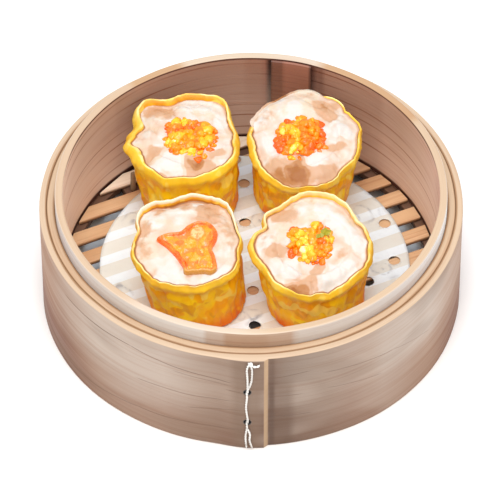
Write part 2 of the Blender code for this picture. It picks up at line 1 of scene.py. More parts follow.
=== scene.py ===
"""The looks of four open-topped shumai on perforated paper in a round bamboo steamer basket.

Metres, +Z up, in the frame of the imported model. Azimuths round the basket are in degrees, 0 at
the front (-Y) and counted towards +X. Angles round a shumai are in radians, from +X towards +Y.
"""
import math
import random
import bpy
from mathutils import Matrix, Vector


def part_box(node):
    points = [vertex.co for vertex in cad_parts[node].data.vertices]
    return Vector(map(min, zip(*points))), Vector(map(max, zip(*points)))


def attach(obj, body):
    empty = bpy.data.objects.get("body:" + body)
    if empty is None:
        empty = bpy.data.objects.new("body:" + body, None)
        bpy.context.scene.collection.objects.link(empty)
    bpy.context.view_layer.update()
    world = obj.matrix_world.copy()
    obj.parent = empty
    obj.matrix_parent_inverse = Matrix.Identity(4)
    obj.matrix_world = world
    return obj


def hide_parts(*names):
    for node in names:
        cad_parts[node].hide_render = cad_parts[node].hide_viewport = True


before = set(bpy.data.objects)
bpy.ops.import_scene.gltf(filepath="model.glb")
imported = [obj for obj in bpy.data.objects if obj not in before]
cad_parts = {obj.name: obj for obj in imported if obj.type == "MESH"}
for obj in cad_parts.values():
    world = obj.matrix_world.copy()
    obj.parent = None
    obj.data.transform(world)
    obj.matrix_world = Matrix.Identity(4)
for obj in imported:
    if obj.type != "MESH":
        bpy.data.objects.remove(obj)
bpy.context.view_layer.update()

from types import SimpleNamespace

import bmesh
import bpy
import numpy as np
from mathutils import Matrix, Vector, geometry, noise


def low(node):
    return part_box(node)[0]


def high(node):
    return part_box(node)[1]


def half_width(node):
    return (high(node).x - low(node).x) / 2


# The basket's sizes, read from the frame
AXIS_Y = (low("inner_band").y + high("inner_band").y) / 2
OUTER_RADIUS = half_width("outer_band")
HOOP_OUTER = half_width("inner_hoop")
RIM_TOP = high("inner_hoop").z
HOOP_BOTTOM = low("inner_hoop").z
BAND_TOP = high("inner_band").z
FLOOR_TOP = high("slat_07").z
SLAT_THICKNESS = FLOOR_TOP - low("slat_07").z
RING_TOP = high("base_ring").z
RING_BOTTOM = low("base_ring").z
PAPER_TOP = high("paper_liner").z

# The basket's strips
GAP = 0.0003
HOOP_INNER = HOOP_OUTER - 0.0028
BAND_INNER = OUTER_RADIUS - 0.0027
STRIP_ROUNDING = 0.0005
STRIP_WAVES = 0.00008
SPLICE_FROM = 160.8
SPLICE_TO = 173.7
SPLICE_WALL = 0.001
LAP_PROUD = 0.0012
LAP_TOP = 3.2
LAP_FOOT = 4.5
LAP_RUN_OUT = 11

# The slats of the floor, the bars below them and the peg
SLAT_WIDTH = 0.006
SLAT_PITCH = 0.0101
SLAT_SHIFT = -0.0004
SLAT_TURN = 25
SLAT_COS = math.cos(math.radians(SLAT_TURN))
SLAT_SIN = math.sin(math.radians(SLAT_TURN))
SLATS_EACH_SIDE = 6
SLAT_REACH = HOOP_INNER - GAP - 0.0001
RING_INNER = HOOP_INNER - 0.003
BAR_WIDTH = 0.006
BAR_OFFSET = 0.0224
PEG_SIZE = 0.0017
PEG_HEIGHT = 0.0092

# The lacing through the two eyelets beside the lap
EYELET_RADIUS = 0.0013
EYELET_X = -0.0014
EYELET_HEIGHTS = (0.0295, 0.0139)
CORD_OFF = GAP + 0.0004
PLY_RADIUS = 0.00024
PLY_OFFSET = 0.00019
PLY_PITCH = 0.0026
KNOT_RADIUS = 0.0008

# The paper, its holes and its crumpled spots as (x, y, size)
PAPER_RADIUS = 0.0565
PAPER_CENTRE = (0.0012, -0.0007)
PAPER_THICKNESS = 0.00022
PAPER_SPACING = 0.00085
HOLE_RADIUS = 0.0022
HOLE_CENTRES = [
    (0.0489, 0.0213), (0.052, 0.0026), (0.0423, -0.0078), (-0.0027, 0.0418), (-0.0023, 0.0218),
    (0.0006, -0.0123), (0.0013, -0.0295), (0.033, -0.042), (0.013, -0.051), (-0.011, -0.0505),
    (-0.031, -0.043), (-0.006, 0.054),
]
CRUMPLE_PITCH = 0.0032
CRUMPLES = [
    (-0.005, -0.0245, 0.006), (0.0005, -0.0255, 0.005), (0.042, 0.026, 0.007),
    (0.003, 0.023, 0.006), (0.048, -0.002, 0.0075), (-0.043, 0.023, 0.007),
    (0.002, 0.002, 0.006), (-0.047, -0.012, 0.006),
]

# The shumai's dough and mince
FOOD_BOTTOM = PAPER_TOP + GAP
WRAPPER_HEIGHT = 0.0315
WRAPPER_WALL = 0.0011
FOOT_RADIUS = 0.0175
FOOT_ROUND = 0.0015
FLARE = 1.6
PLEATS = 9
PLEAT_DEPTH = 0.0003
CORNER_LIFT = 0.0006
FOLD_WIDTH = 0.18
LIP_FROM = 0.84
LIP_ROUND = 0.00055
FILLING_SINK = 0.0016
FILLING_BULGE = 0.0026
FOOD_ANGLES = 256
LIP_SHADE_AT = 4.2
LIP_SHADE_FROM = 0.95
LIP_SHADE_TO = 0.985
SPILL_AT = 2.05
SPILL_DROP = 0.002
SPILL_EDGE_AT = 2.02

# tilt is the slope of the top in degrees and corner the (angle, bulge) of its squarish outline. folds
# are (angle, depth) dents of the rim, flaps (angle, reach, width) tips of the wrapper that stand out,
# dips (angle, depth, width) nicks in the rim's height, and the last list spots of painted shade on the
# mince at (x, y, size, strength), x and y being shares of the way from the middle to the rim, or
# painted highlights where strength is below 0. curl is how far the lip bends in at the right, back,
# left and front, crest how strong the painted highlight on its edge and the painted shade just inside
# it are at the back and gap how much deeper the mince lies there. spill is 1
# where the mince spills over the rim, topping is how far the topping lies off the top's middle, and
# dent is the size of the hollow below it
SHUMAI = {
    "back_left": SimpleNamespace(
        base=(-0.0224, 0.0335), top_centre=(-0.0251, 0.0348), top_half=(0.0219, 0.0213), tilt=3,
        corner=(0.95, 0.0008), folds=[(1.92, 0.0006), (2.83, 0.003)],
        flaps=[(2.2, 0.0014, 0.18), (0.87, 0.0009, 0.22), (3.29, 0.0014, 0.1)],
        dips=[(-1.85, 0.0008, 0.25), (1.4, -0.0013, 1.3)], spill=0, gap=0.0022,
        topping=(0.002, -0.0006), dent=0.0112, curl=(0.0018, 0.0008, 0.0034, 0.0008), crest=0.1,
        blushes=[
            (-0.42, 0.63, 0.22, 0.6), (-0.47, -0.44, 0.16, 0.6), (0.2, -0.62, 0.22, 1.2),
            (0.46, -0.74, 0.2, 0.5), (0.6, -0.42, 0.17, 0.4), (-0.3, -0.92, 0.12, 0.95),
            (-0.2, -0.66, 0.28, -1), (0.25, 0.74, 0.27, -1), (0.72, 0.4, 0.2, -0.6),
            (0.72, -0.58, 0.16, -0.8),
        ],
        seed=11,
    ),
    "back_right": SimpleNamespace(
        base=(0.0184, 0.0368), top_centre=(0.0194, 0.0347), top_half=(0.021, 0.022), tilt=7,
        corner=(1.46, 0.0002), folds=[(1.2, 0.0008)],
        flaps=[(-0.05, 0.0006, 0.25), (2.72, 0.0008, 0.25)],
        dips=[(-1.8, 0.0031, 1.3)], spill=1, gap=0,
        topping=(-0.0014, -0.0006), dent=0.0112, curl=(0.0011, 0.0006, 0.0018, 0.0004), crest=0,
        blushes=[
            (-0.48, -0.62, 0.26, 0.5), (-0.08, -0.74, 0.28, 1.25), (0.34, -0.76, 0.24, 0.5),
            (-0.46, -0.85, 0.24, 1), (-0.78, 0.42, 0.24, 0.28), (0.43, 0.5, 0.19, 0.72),
            (0.55, -0.25, 0.15, 0.5), (-0.1, -0.52, 0.16, 0.6), (0.2, -0.44, 0.18, -1),
            (-0.17, 0.54, 0.2, -0.6), (-0.6, -0.16, 0.22, -0.6), (0, 0.84, 0.26, 0.19),
            (0.66, 0.05, 0.2, -0.7),
        ],
        seed=23,
    ),
    "front_left": SimpleNamespace(
        base=(-0.0194, -0.0163), top_centre=(-0.0233, -0.017), top_half=(0.0205, 0.0214), tilt=6.5,
        corner=(0.9, 0.0008), folds=[(2, 0.0008), (2.88, 0.002)],
        flaps=[(3.35, 0.0012, 0.16), (-0.78, 0.0006, 0.25)],
        dips=[(-1.75, 0.0009, 0.2), (1.45, 0.0006, 0.45)], spill=0, gap=0.003,
        topping=(0.0004, -0.003), dent=0.013, curl=(0.0004, 0.0006, 0.0013, 0.0003), crest=1,
        blushes=[
            (0.42, 0.6, 0.28, 0.7), (-0.4, -0.4, 0.1, 0.35), (-0.45, 0.62, 0.12, 0.35),
            (0.05, -0.72, 0.14, 0.4), (-0.62, -0.15, 0.12, 0.25), (0.62, 0.3, 0.2, 0.32),
            (-0.3, -0.72, 0.28, -0.9), (0.45, -0.8, 0.2, -0.7), (0.72, 0.05, 0.22, 0.3),
            (-0.76, 0.25, 0.26, 0.32), (-0.74, -0.18, 0.24, 0.3), (-0.1, 0.78, 0.26, 0.3),
        ],
        seed=37,
    ),
    "front_right": SimpleNamespace(
        base=(0.0232, -0.0181), top_centre=(0.0216, -0.019), top_half=(0.0216, 0.0225), tilt=8,
        corner=(1.3, 0.0007), folds=[(2.76, 0.0026), (-1.28, 0.001)],
        flaps=[(3.23, 0.0013, 0.22), (0, 0.001, 0.12)],
        dips=[(-1.28, 0.0024, 0.26)], spill=0, gap=0.0016,
        topping=(0.0004, -0.0004), dent=0.0112, curl=(0.0017, 0.0007, 0.0019, 0.0006), crest=0.45,
        blushes=[
            (-0.45, 0.58, 0.2, 0.6), (-0.55, -0.2, 0.18, 0.68), (-0.28, -0.84, 0.24, 1.15),
            (0.12, -0.52, 0.15, 0.65), (0.45, -0.2, 0.18, 0.3), (-0.05, 0.8, 0.14, 0.25),
            (-0.32, -0.55, 0.24, -1), (0.5, -0.62, 0.26, -1), (0.72, 0, 0.2, -0.9),
            (-0.78, 0, 0.18, 0.24), (0.15, 0.66, 0.2, -0.6), (0.02, -0.74, 0.13, 0.7),
        ],
        seed=53,
    ),
}

# Toppings, with outlines from each one's own middle. The kinds of roe are how many there are, their
# least and greatest radius, how far they stand up in the middle and how finely they are split. The
# tones of the roe are how much yellower each clump is, and the herb's leaves are (x, y, length)
TOPPING_SUNK = 0.0018
ROE_CORE_HEIGHT = 0.0032
ROE_KINDS = [(66, (0.0011, 0.0021), 0, 3), (50, (0.0005, 0.0009), 0.0009, 2)]
ROE_TONES = {"back_left": 0, "back_right": -0.12, "front_right": 0.01}
ROE_OUTLINES = {
    "back_left": [
        (-0.0095, -0.001), (-0.0084, 0.004), (-0.007, 0.008), (-0.002, 0.0095),
        (0.0055, 0.008), (0.0103, 0.0035), (0.0107, -0.003), (0.008, -0.0084),
        (0.0042, -0.0116), (0, -0.009), (-0.0053, -0.008), (-0.0086, -0.005),
    ],
    "back_right": [
        (-0.0098, -0.0018), (-0.009, 0.0035), (-0.0063, 0.0078), (-0.0017, 0.0094),
        (0.0048, 0.009), (0.0084, 0.006), (0.0088, 0.0015), (0.01, -0.002),
        (0.0084, -0.0066), (0.0045, -0.0076), (-0.0018, -0.011), (-0.0057, -0.0092),
        (-0.0092, -0.0055),
    ],
    "front_right": [
        (-0.0098, -0.0014), (-0.0094, 0.0038), (-0.0078, 0.007), (-0.0035, 0.0068),
        (-0.0012, 0.0094), (0.0031, 0.0095), (0.0065, 0.0068), (0.0075, 0.002),
        (0.0068, -0.0044), (0.004, -0.0082), (0, -0.0092), (-0.0046, -0.0082),
        (-0.0088, -0.0059),
    ],
}
HERB_LEAVES = [
    (0.0046, 0.0028, 0.003), (0.0032, 0.002, 0.0024), (0.0042, 0.0042, 0.002),
    (0.0056, 0.0036, 0.0018), (0.0018, 0.0014, 0.0018), (0.0036, 0.0034, 0.0022),
]
PRAWN_THICKNESS = 0.0034
PRAWN_CENTRE = (0.003, -0.0015)
PRAWN_CURL = (0.0042, 0.0052)
PRAWN_OUTLINE = [
    (-0.0107, 0.0027), (-0.0072, 0.0048), (-0.0026, 0.0056), (0.0005, 0.0086), (0.0044, 0.0103),
    (0.008, 0.0095), (0.0106, 0.0062), (0.0107, 0.0025), (0.009, -0.0017), (0.0101, -0.0055),
    (0.0108, -0.0105), (0.0088, -0.0124), (0.006, -0.012), (0.0025, -0.0124), (-0.0008, -0.0122),
    (-0.0014, -0.0095), (-0.0036, -0.0058), (-0.0068, -0.0016), (-0.0094, 0.0008),
]

# The camera, fitted to the outlines of the basket in a square picture
LENS = 350
ELEVATION = 46.47
DISTANCE = 1.76
AIM = (-0.00045, AXIS_Y, 0.0208)

# The light that reaches each kind of surface, as red, green and blue, where 1 looks just white
TOP_LIGHT = (1.61, 1.7, 1.84)
FRONT_LIGHT = (1.42, 1.46, 1.52)
HOOP_LIGHT = (1.24, 1.18, 1.16)
INSIDE_LIGHT = (0.92, 0.76, 0.7)
FOOD_LIGHT = (1.49, 1.57, 1.66)


def srgb(colour, light=1):
    """The surface colour that looks like a screen colour in a given light."""
    share = np.array(colour) / 255
    linear = np.where(share < 0.04, share / 12.92, ((share + 0.055) / 1.055) ** 2.4)
    return tuple(np.minimum(linear / light, 0.94).tolist())


# Building meshes

class Shape:
    """Points and faces of one piece, with named marks: numbers at each point for its shader."""

    def __init__(self, *marks):
        self.points = []
        self.faces = []
        self.marks = {name: [] for name in marks}

    def add_points(self, points, **marks):
        first = len(self.points)
        self.points.extend(points)
        for name, values in self.marks.items():
            values.extend(np.broadcast_to(marks.get(name, 0), (len(points),)).tolist())
        return first

    def add_grid(self, grid, closed=False, poles=(None, None), **marks):
        """Skins rings of points. Where it isn't closed, it ends in flat caps or at two poles."""
        rows, columns = grid.shape[:2]
        flat = {name: np.broadcast_to(mark, (rows, columns)).ravel() for name, mark in marks.items()}
        first = self.add_points(grid.reshape(-1, 3).tolist(), **flat)
        index = first + np.arange(rows * columns).reshape(rows, columns)
        if closed:
            index = np.vstack([index, index[:1]])
        index = np.hstack([index, index[:, :1]])
        corners = (index[:-1, :-1], index[:-1, 1:], index[1:, 1:], index[1:, :-1])
        self.faces.extend(np.stack(corners, axis=-1).reshape(-1, 4).tolist())
        if closed:
            return
        for row, pole in zip((index[0], index[-1]), poles):
            ring = row.tolist()
            if pole is None:
                self.faces.append(ring[:-1])
                continue
            values = {name: flat[name][ring[0] - first] for name in flat}
            tip = self.add_points([tuple(pole)], **values)
            self.faces.extend([a, b, tip] for a, b in zip(ring, ring[1:]))

    def to_mesh(self, name, sharp_angle):
        mesh = bpy.data.meshes.new(name)
        mesh.from_pydata(self.points, [], self.faces)
        for mark, values in self.marks.items():
            mesh.attributes.new(mark, "FLOAT", "POINT").data.foreach_set("value", values)
        bm = bmesh.new()
        bm.from_mesh(mesh)
        bmesh.ops.recalc_face_normals(bm, faces=bm.faces[:])
        bm.to_mesh(mesh)
        bm.free()
        mesh.shade_smooth()
        mesh.set_sharp_from_angle(angle=math.radians(sharp_angle))
        return mesh

    def to_piece(self, name, material, slot, *nodes, sharp_angle=80):
        return add_piece(name, self.to_mesh(name, sharp_angle), material, slot, *nodes)


def add_object(name, data):
    made = bpy.data.objects.new(name, data)
    bpy.context.scene.collection.objects.link(made)
    return made


def add_piece(name, mesh, material, slot, *nodes):
    """Makes a piece of a mesh: it rides on the part's one body and stands for the CAD nodes."""
    mesh.materials.clear()
    mesh.materials.append(material)
    piece = add_object(name, mesh)
    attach(piece, "root")
    if nodes:
        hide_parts(*nodes)
    return piece


def smoothstep(value, start, end):
    share = np.clip((value - start) / (end - start), 0, 1)
    return share * share * (3 - 2 * share)


@np.vectorize
def bumps(x, y, z):
    """Smooth noise from about -1 to 1 at each place."""
    return noise.noise(Vector((x, y, z)))


def angle_between(first, second):
    return (first - second + math.pi) % math.tau - math.pi


def grid_of(*parts):
    """Points from their x, y and perhaps z, each a number or an array."""
    return np.stack(np.broadcast_arrays(*parts), axis=-1)


def smooth_path(points, steps, closed=False):
    """A curve through the points, with some steps between each two."""
    spots = np.array(points, dtype=float)
    ends = (spots[-1:], spots[:2]) if closed else (spots[:1], spots[-1:])
    near = np.vstack([ends[0], spots, ends[1]])
    t = np.arange(steps)[:, None] / steps
    path = [
        0.5 * (
            2 * start + (end - before) * t
            + (2 * before - 5 * start + 4 * end - after) * t ** 2
            + (3 * start - before - 3 * end + after) * t ** 3
        )
        for before, start, end, after in zip(near, near[1:], near[2:], near[3:])
    ]
    return np.concatenate(path if closed else [*path, spots[-1:]])


def tube_grid(points, radius, sides, offset=0, pitch=1, phase=0, taper=0):
    """A tube along a path. With an offset it winds round the path, once in each pitch."""
    path = [Vector(point) for point in points]
    last = len(path) - 1
    turns = [math.tau * k / sides for k in range(sides)]
    side = None
    travelled = 0
    rows = []
    for i, spot in enumerate(path):
        along = (path[min(i + 1, last)] - path[max(i - 1, 0)]).normalized()
        if side is None:
            side = along.cross(Vector((0.3, 0.1, 0.2))).normalized()
        side = (side - along * side.dot(along)).normalized()
        other = along.cross(side)
        travelled += (spot - path[max(i - 1, 0)]).length
        wind = phase + math.tau * travelled / pitch
        centre = spot + offset * (side * math.cos(wind) + other * math.sin(wind))
        from_end = min(i, last - i)
        size = radius * (1 if from_end >= taper else 0.55 + 0.45 * from_end / taper)
        rows.append([centre + size * (side * math.cos(a) + other * math.sin(a)) for a in turns])
    return np.array(rows)


# Building materials

class Value:
    """What comes out of a node, ready to calculate with."""

    def __init__(self, graph, socket):
        self.graph = graph
        self.socket = socket

    def __add__(self, other):
        return self.graph.math("ADD", self, other)

    def __sub__(self, other):
        return self.graph.math("SUBTRACT", self, other)

    def __mul__(self, other):
        return self.graph.math("MULTIPLY", self, other)

    def __abs__(self):
        return self.graph.math("ABSOLUTE", self)

    def span(self, start, end, low_end=0, high_end=1):
        """The value's smooth way from one end to the other, held at both."""
        ends = {"From Min": start, "From Max": end, "To Min": low_end, "To Max": high_end}
        return self.graph.node("MapRange", {"Value": self, **ends}, interpolation_type="SMOOTHSTEP")

    def pulse(self, start, end, soft):
        """1 between start and end, with soft edges."""
        return self.span(start - soft, start + soft) * self.span(end - soft, end + soft, 1, 0)


class Graph:
    """A material's node tree. Each call adds nodes and returns what comes out of them.

    x, y and z are the point's place, with y from the basket's axis.
    """

    def __init__(self, name):
        self.material = bpy.data.materials.new(name)
        self.material.use_nodes = True
        self.tree = self.material.node_tree
        spot = self.node("TexCoord", {}, "Object")
        self.x, y, self.z = (self.node("SeparateXYZ", {0: spot}, axis) for axis in "XYZ")
        self.y = y - AXIS_Y

    def put(self, socket, value):
        if isinstance(value, Value):
            self.tree.links.new(value.socket, socket)
        elif socket.type == "RGBA":
            socket.default_value = (*value, 1)
        else:
            socket.default_value = value

    def node(self, kind, inputs, out=0, **settings):
        made = self.tree.nodes.new(f"ShaderNode{kind}")
        for name, setting in settings.items():
            setattr(made, name, setting)
        for name, value in inputs.items():
            self.put(made.inputs[name], value)
        return Value(self, made.outputs[out])

    def math(self, operation, *values):
        return self.node("Math", dict(enumerate(values)), operation=operation)

    def hypot(self, first, second):
        return self.math("SQRT", first * first + second * second)

    def join(self, x, y, z):
        return self.node("CombineXYZ", {0: x, 1: y, 2: z})

    def mark(self, name):
        return self.node("Attribute", {}, "Fac", attribute_name=name)

    def azimuth(self):
        """The azimuth round the basket, -180 to 180, with its seam at the back."""
        return self.math("ARCTAN2", self.x, self.y * -1) * (180 / math.pi)

    def back_azimuth(self):
        """The azimuth from the back of the basket, with its seam at the front."""
        return self.math("ARCTAN2", self.x * -1, self.y) * (180 / math.pi)

    def over_slats(self):
        return self.y * SLAT_COS - self.x * SLAT_SIN

    def noise(self, scale, detail=2, at="xyz", **inputs):
        """Noise at a spot, or at the point's own place with its axes in some order."""
        spot = self.join(*(getattr(self, axis) for axis in at)) if isinstance(at, str) else at
        return self.node("TexNoise", {"Vector": spot, "Scale": scale, "Detail": detail, **inputs})

    def drawn_out(self, along, up):
        """Noise drawn out round a hoop."""
        return self.noise(1, 1, self.join(self.x * along, self.y * along, self.z * up))

    def mix(self, share, first, second, blend="MIX"):
        inputs = {0: share, 6: first, 7: second}
        return self.node("Mix", inputs, 2, data_type="RGBA", blend_type=blend)

    def paint(self, tone, *layers, light=1):
        """Lays (share, red, green, blue) layers of screen colour over a tone."""
        for share, *colour in layers:
            tone = self.mix(share, tone, srgb(colour, light))
        return tone

    def darken(self, share, tone, *colour):
        return self.mix(share, tone, srgb(colour), "MULTIPLY")

    def ramp(self, value, stops, light=1):
        """The colour of a value between (value, red, green, blue) stops of screen colour."""
        start = stops[0][0]
        scale = 1 / (stops[-1][0] - start)
        made = self.node("ValToRGB", {0: (value - start) * scale})
        elements = made.socket.node.color_ramp.elements
        while len(elements) < len(stops):
            elements.new(0.5)
        for element, (position, *colour) in zip(elements, stops):
            element.position = (position - start) * scale
            element.color = (*srgb(colour, light), 1)
        return made

    def finish(self, tone, rough, *relief, through=None, **inputs):
        """Sets the shader, with (height, depth in metres) layers of relief one over the other.

        through is how much light shines through, then how far its red, green and blue do.
        """
        inputs |= {"Base_Color": tone, "Roughness": rough}
        if through:
            weight, *radius = through
            inputs |= {"Subsurface_Weight": weight, "Subsurface_Radius": radius}
            inputs["Subsurface_Scale"] = 0.001
        below = {}
        for height, depth in relief:
            normal = self.node("Bump", {"Height": height, "Distance": depth, **below})
            inputs["Normal"] = normal
            below = {"Normal": normal}
        shader = self.tree.nodes["Principled BSDF"]
        for name, value in inputs.items():
            self.put(shader.inputs[name.replace("_", " ")], value)
        return self.material


class HoopBamboo(Graph):
    """Bamboo with coarse and fine fibres that run round a hoop."""

    def __init__(self, name, coarse, fine):
        super().__init__(name)
        self.coarse = self.fibres(coarse)
        self.fine = self.fibres(fine)

    def from_axis(self):
        return self.hypot(self.x, self.y)

    def fibres(self, across, along=16):
        height = (self.z + self.from_axis()) * across
        return self.noise(1, at=self.join(self.x * along, self.y * along, height))

    def shade(self, tone, strength):
        """The tone with darker and redder fibres in it."""
        streak = self.coarse * 0.6 + self.fine * 0.4
        return self.darken(streak.span(0.45, 0.75, 0, strength), tone, 205, 160, 130)

    def finish_bamboo(self, tone, smoothest, coarse_depth, fine_depth, *relief):
        rough = self.coarse.span(0.3, 0.7, smoothest, smoothest + 0.2)
        fibres = (self.coarse, coarse_depth), (self.fine, fine_depth)
        return self.finish(tone, rough, *fibres, *relief)


class SlatBamboo(HoopBamboo):
    """Bamboo with coarse and fine fibres that run along the slats."""

    def fibres(self, across, along=25):
        down = self.x * SLAT_COS + self.y * SLAT_SIN
        spot = self.join(down * along, self.over_slats() * across, self.z * across)
        return self.noise(1, at=spot)


# Bamboo tones, as (azimuth, red, green, blue) stops where they change round the basket
RIM_TONES = [
    (-180, 249, 228, 204), (-160, 250, 228, 204), (-157, 229, 186, 143), (-142, 230, 188, 145),
    (-139, 242, 211, 180), (-42, 242, 212, 181), (-34, 252, 231, 211), (-4, 250, 229, 207),
    (8, 243, 213, 180), (119, 242, 212, 181), (122, 225, 180, 136), (156, 229, 186, 143),
    (160, 253, 234, 216), (180, 249, 228, 204),
]
# The inner wall's stops are darker towards the back as painted shade, and the darkest ones, beside
# both edges of the splice, are painted shadow.
INNER_WALL_TONES = [
    (-180, 228, 184, 162), (-90, 213, 161, 142), (-78, 219, 171, 150), (-65, 195, 150, 127),
    (-54, 174, 129, 106), (-46, 169, 124, 103), (-44, 158, 112, 91), (-30, 156, 108, 87),
    (-24.5, 152, 102, 81), (-23.4, 146, 96, 75), (-22.7, 118, 71, 54), (-21, 118, 71, 54),
    (-20.4, 84, 42, 30), (-18, 84, 42, 30), (-7, 44, 14, 8), (-5.5, 44, 14, 8), (-5, 106, 58, 44),
    (-4.2, 143, 89, 70), (-3.6, 148, 98, 77), (1, 148, 98, 77), (2.5, 155, 107, 86),
    (34, 155, 107, 86), (36, 155, 109, 88), (46, 158, 113, 92), (48, 170, 124, 102),
    (54, 178, 133, 110), (65, 193, 150, 127), (78, 222, 178, 155), (90, 236, 195, 171),
    (180, 228, 184, 162),
]
# The hoop face's stops are paler towards the sides, painted light against the shade of the groove it
# stands in.
HOOP_FACE_TONES = [
    (-180, 226, 208, 194), (-110, 236, 224, 218), (-70, 216, 202, 196), (-40, 211, 195, 182),
    (-14, 210, 194, 182), (-13, 194, 167, 147), (-8, 192, 163, 142), (-7, 181, 143, 115),
    (4, 181, 143, 115), (5, 186, 151, 125), (12, 189, 155, 131), (13, 208, 191, 178),
    (30, 213, 196, 184), (45, 220, 206, 197), (60, 234, 222, 216), (80, 254, 250, 248),
    (120, 244, 234, 228), (180, 226, 208, 194),
]
# The outer band's darkest stops, just past the lap's foot, are painted shadow of the lap.
BAND_FACE_TONES = [
    (-180, 200, 172, 154), (-90, 182, 140, 112), (-74, 183, 139, 108), (-62, 184, 152, 131),
    (-46, 208, 190, 176), (-24, 205, 187, 174), (-14, 184, 162, 146), (-9, 171, 147, 130),
    (0, 160, 134, 116), (5.5, 124, 95, 77), (7.5, 140, 116, 100), (10, 149, 128, 113),
    (14, 160, 140, 125), (21, 173, 152, 136), (27, 187, 165, 150), (34, 196, 174, 158),
    (38, 204, 186, 173), (56, 219, 203, 191), (66, 203, 175, 156), (78, 190, 151, 124),
    (88, 184, 143, 115), (180, 200, 172, 154),
]

# Tones of the splice along its length, the dough from its foot up and over its lip, the mince by how
# deep it lies and the roe from ruddy to pale
# The splice's darkest ends are painted shadow lines along its edges.
SPLICE_TONES = [
    (0, 80, 40, 28), (0.025, 84, 43, 31), (0.07, 142, 88, 68), (0.62, 145, 90, 71),
    (0.69, 134, 82, 63), (0.74, 108, 62, 47), (0.95, 104, 60, 45), (0.97, 88, 48, 35),
    (1, 66, 32, 22),
]
# The dough's deeper orange at the foot and its darker tones inside the lip are painted shade, and the
# pale band along the lip is a painted highlight.
DOUGH_TONES = [
    (0, 222, 98, 2), (0.1, 232, 130, 4), (0.25, 245, 182, 10), (0.46, 246, 186, 14),
    (0.6, 240, 166, 10), (0.69, 254, 204, 48), (0.755, 250, 202, 62), (0.8, 246, 196, 62),
    (0.86, 234, 164, 40), (0.94, 204, 126, 44),
]
# The mince gets darker the deeper it lies, painted shade in its hollows.
MINCE_TONES = [
    (0.1, 254, 251, 246), (0.27, 254, 246, 236), (0.44, 253, 234, 216), (0.66, 251, 221, 198),
    (1, 232, 184, 148),
]
# The roe's palest stops, from 0.92 up, are painted highlights.
ROE_COLOURS = [
    (0, 246, 92, 0), (0.2, 250, 116, 0), (0.38, 250, 138, 4), (0.52, 236, 150, 16),
    (0.64, 248, 174, 20), (0.8, 252, 196, 44), (0.92, 254, 216, 104), (1, 255, 232, 172),
]

# Long dark grain lines on the outer band, as (azimuth, height in mm) at both ends and a strength
GRAIN_LINES = [
    (-60, 37.5, -34, 38.2, 1), (-34, 38.2, -5.6, 33.8, 0.8), (-21, 34, -5.6, 32.2, 0.5),
    (-32, 23, -5.6, 24.1, 0.6), (-62, 3.4, -32, 8, 0.6), (-32, 8, -2, 9.8, 0.6),
    (-17, 17, -3, 20, 0.5), (-6.4, 29.8, -1.7, 28.7, 0.8), (5, 35.4, 15.6, 36.4, 0.6),
    (20, 33.6, 41, 30.2, 0.6), (41, 30.2, 56, 24.2, 0.4), (21, 25.1, 37, 21.5, 0.5),
    (5.4, 26.1, 13.3, 25.4, 0.5), (5, 15.3, 16, 14.8, 0.6), (70, 31, 128, 34, 0.5),
    (95, 12, 160, 10, 0.6), (-170, 27, -110, 24, 0.6), (150, 36, 179, 38, 0.5),
    (-130, 8, -80, 11, 0.5), (110, 22, 145, 24, 0.4),
]
GRAIN_LINE_HALF_WIDTH = 0.00015
WALL_LINE_PITCH = 0.0054


def wall_lines(graph):
    """Thin long lines round the inner wall, which fade in and out."""
    height = graph.z + graph.drawn_out(9, 60) * 0.004
    off = abs(graph.math("FRACT", height * (1 / WALL_LINE_PITCH)) - 0.5)
    return off.span(0.085, 0.03) * graph.drawn_out(25, 200).span(0.38, 0.62) * 0.85


def rim_hoop_material():
    graph = HoopBamboo("bamboo_rim_hoop", 750, 2600)
    side = graph.mark("side")
    azimuth = graph.azimuth()
    back = graph.back_azimuth()
    inner = graph.ramp(back, INNER_WALL_TONES, INSIDE_LIGHT)
    # deep paints the inner wall paler towards the floor, most away from the back: painted light
    # against the shade that falls low in the basket.
    deep = graph.z.span(RIM_TOP, FLOOR_TOP) * abs(back + 8).span(20, 75, 0.55, 0.98)
    inner = graph.shade(graph.paint(inner, (deep, 244, 221, 205)), 0.3)
    inner = graph.darken(wall_lines(graph), inner, 196, 160, 140)
    # Painted shade: a dark band just under the rim towards the back and a dark line where the wall
    # meets the floor.
    shade_under_rim = graph.z.pulse(RIM_TOP - 0.0011, RIM_TOP + 0.001, 0.0002)
    far = abs(azimuth).span(85, 115)
    shade_at_floor = graph.z.span(FLOOR_TOP + 0.0016, FLOOR_TOP + 0.0003)
    inner = graph.paint(inner, (shade_under_rim * far, 86, 48, 36), (shade_at_floor, 75, 42, 32))
    top = graph.shade(graph.ramp(azimuth, RIM_TONES, TOP_LIGHT), 0.22)
    edge = side.pulse(1.25, 1.8, 0.1) * 0.6
    top = graph.paint(top, (edge, 255, 238, 222), light=TOP_LIGHT)
    face = graph.shade(graph.ramp(azimuth, HOOP_FACE_TONES, HOOP_LIGHT), 0.35)
    tone = graph.mix(side.span(0.2, 0.45), inner, top)
    tone = graph.mix(side.span(1.65, 1.9), tone, face)
    return graph.finish_bamboo(tone, 0.42, 0.00012, 0.00006)


def splice_material():
    graph = HoopBamboo("bamboo_splice", 700, 2400)
    share = (graph.back_azimuth() - (SPLICE_FROM - 180)) * (1 / (SPLICE_TO - SPLICE_FROM))
    # low_part paints the splice paler towards the floor, painted light against the shade that falls
    # low in the basket.
    low_part = graph.z.span(RIM_TOP, FLOOR_TOP, 0.05, 0.4)
    tone = graph.paint(graph.ramp(share, SPLICE_TONES), (low_part, 236, 190, 160))
    return graph.finish_bamboo(graph.shade(tone, 0.5), 0.42, 0.00012, 0.00006)


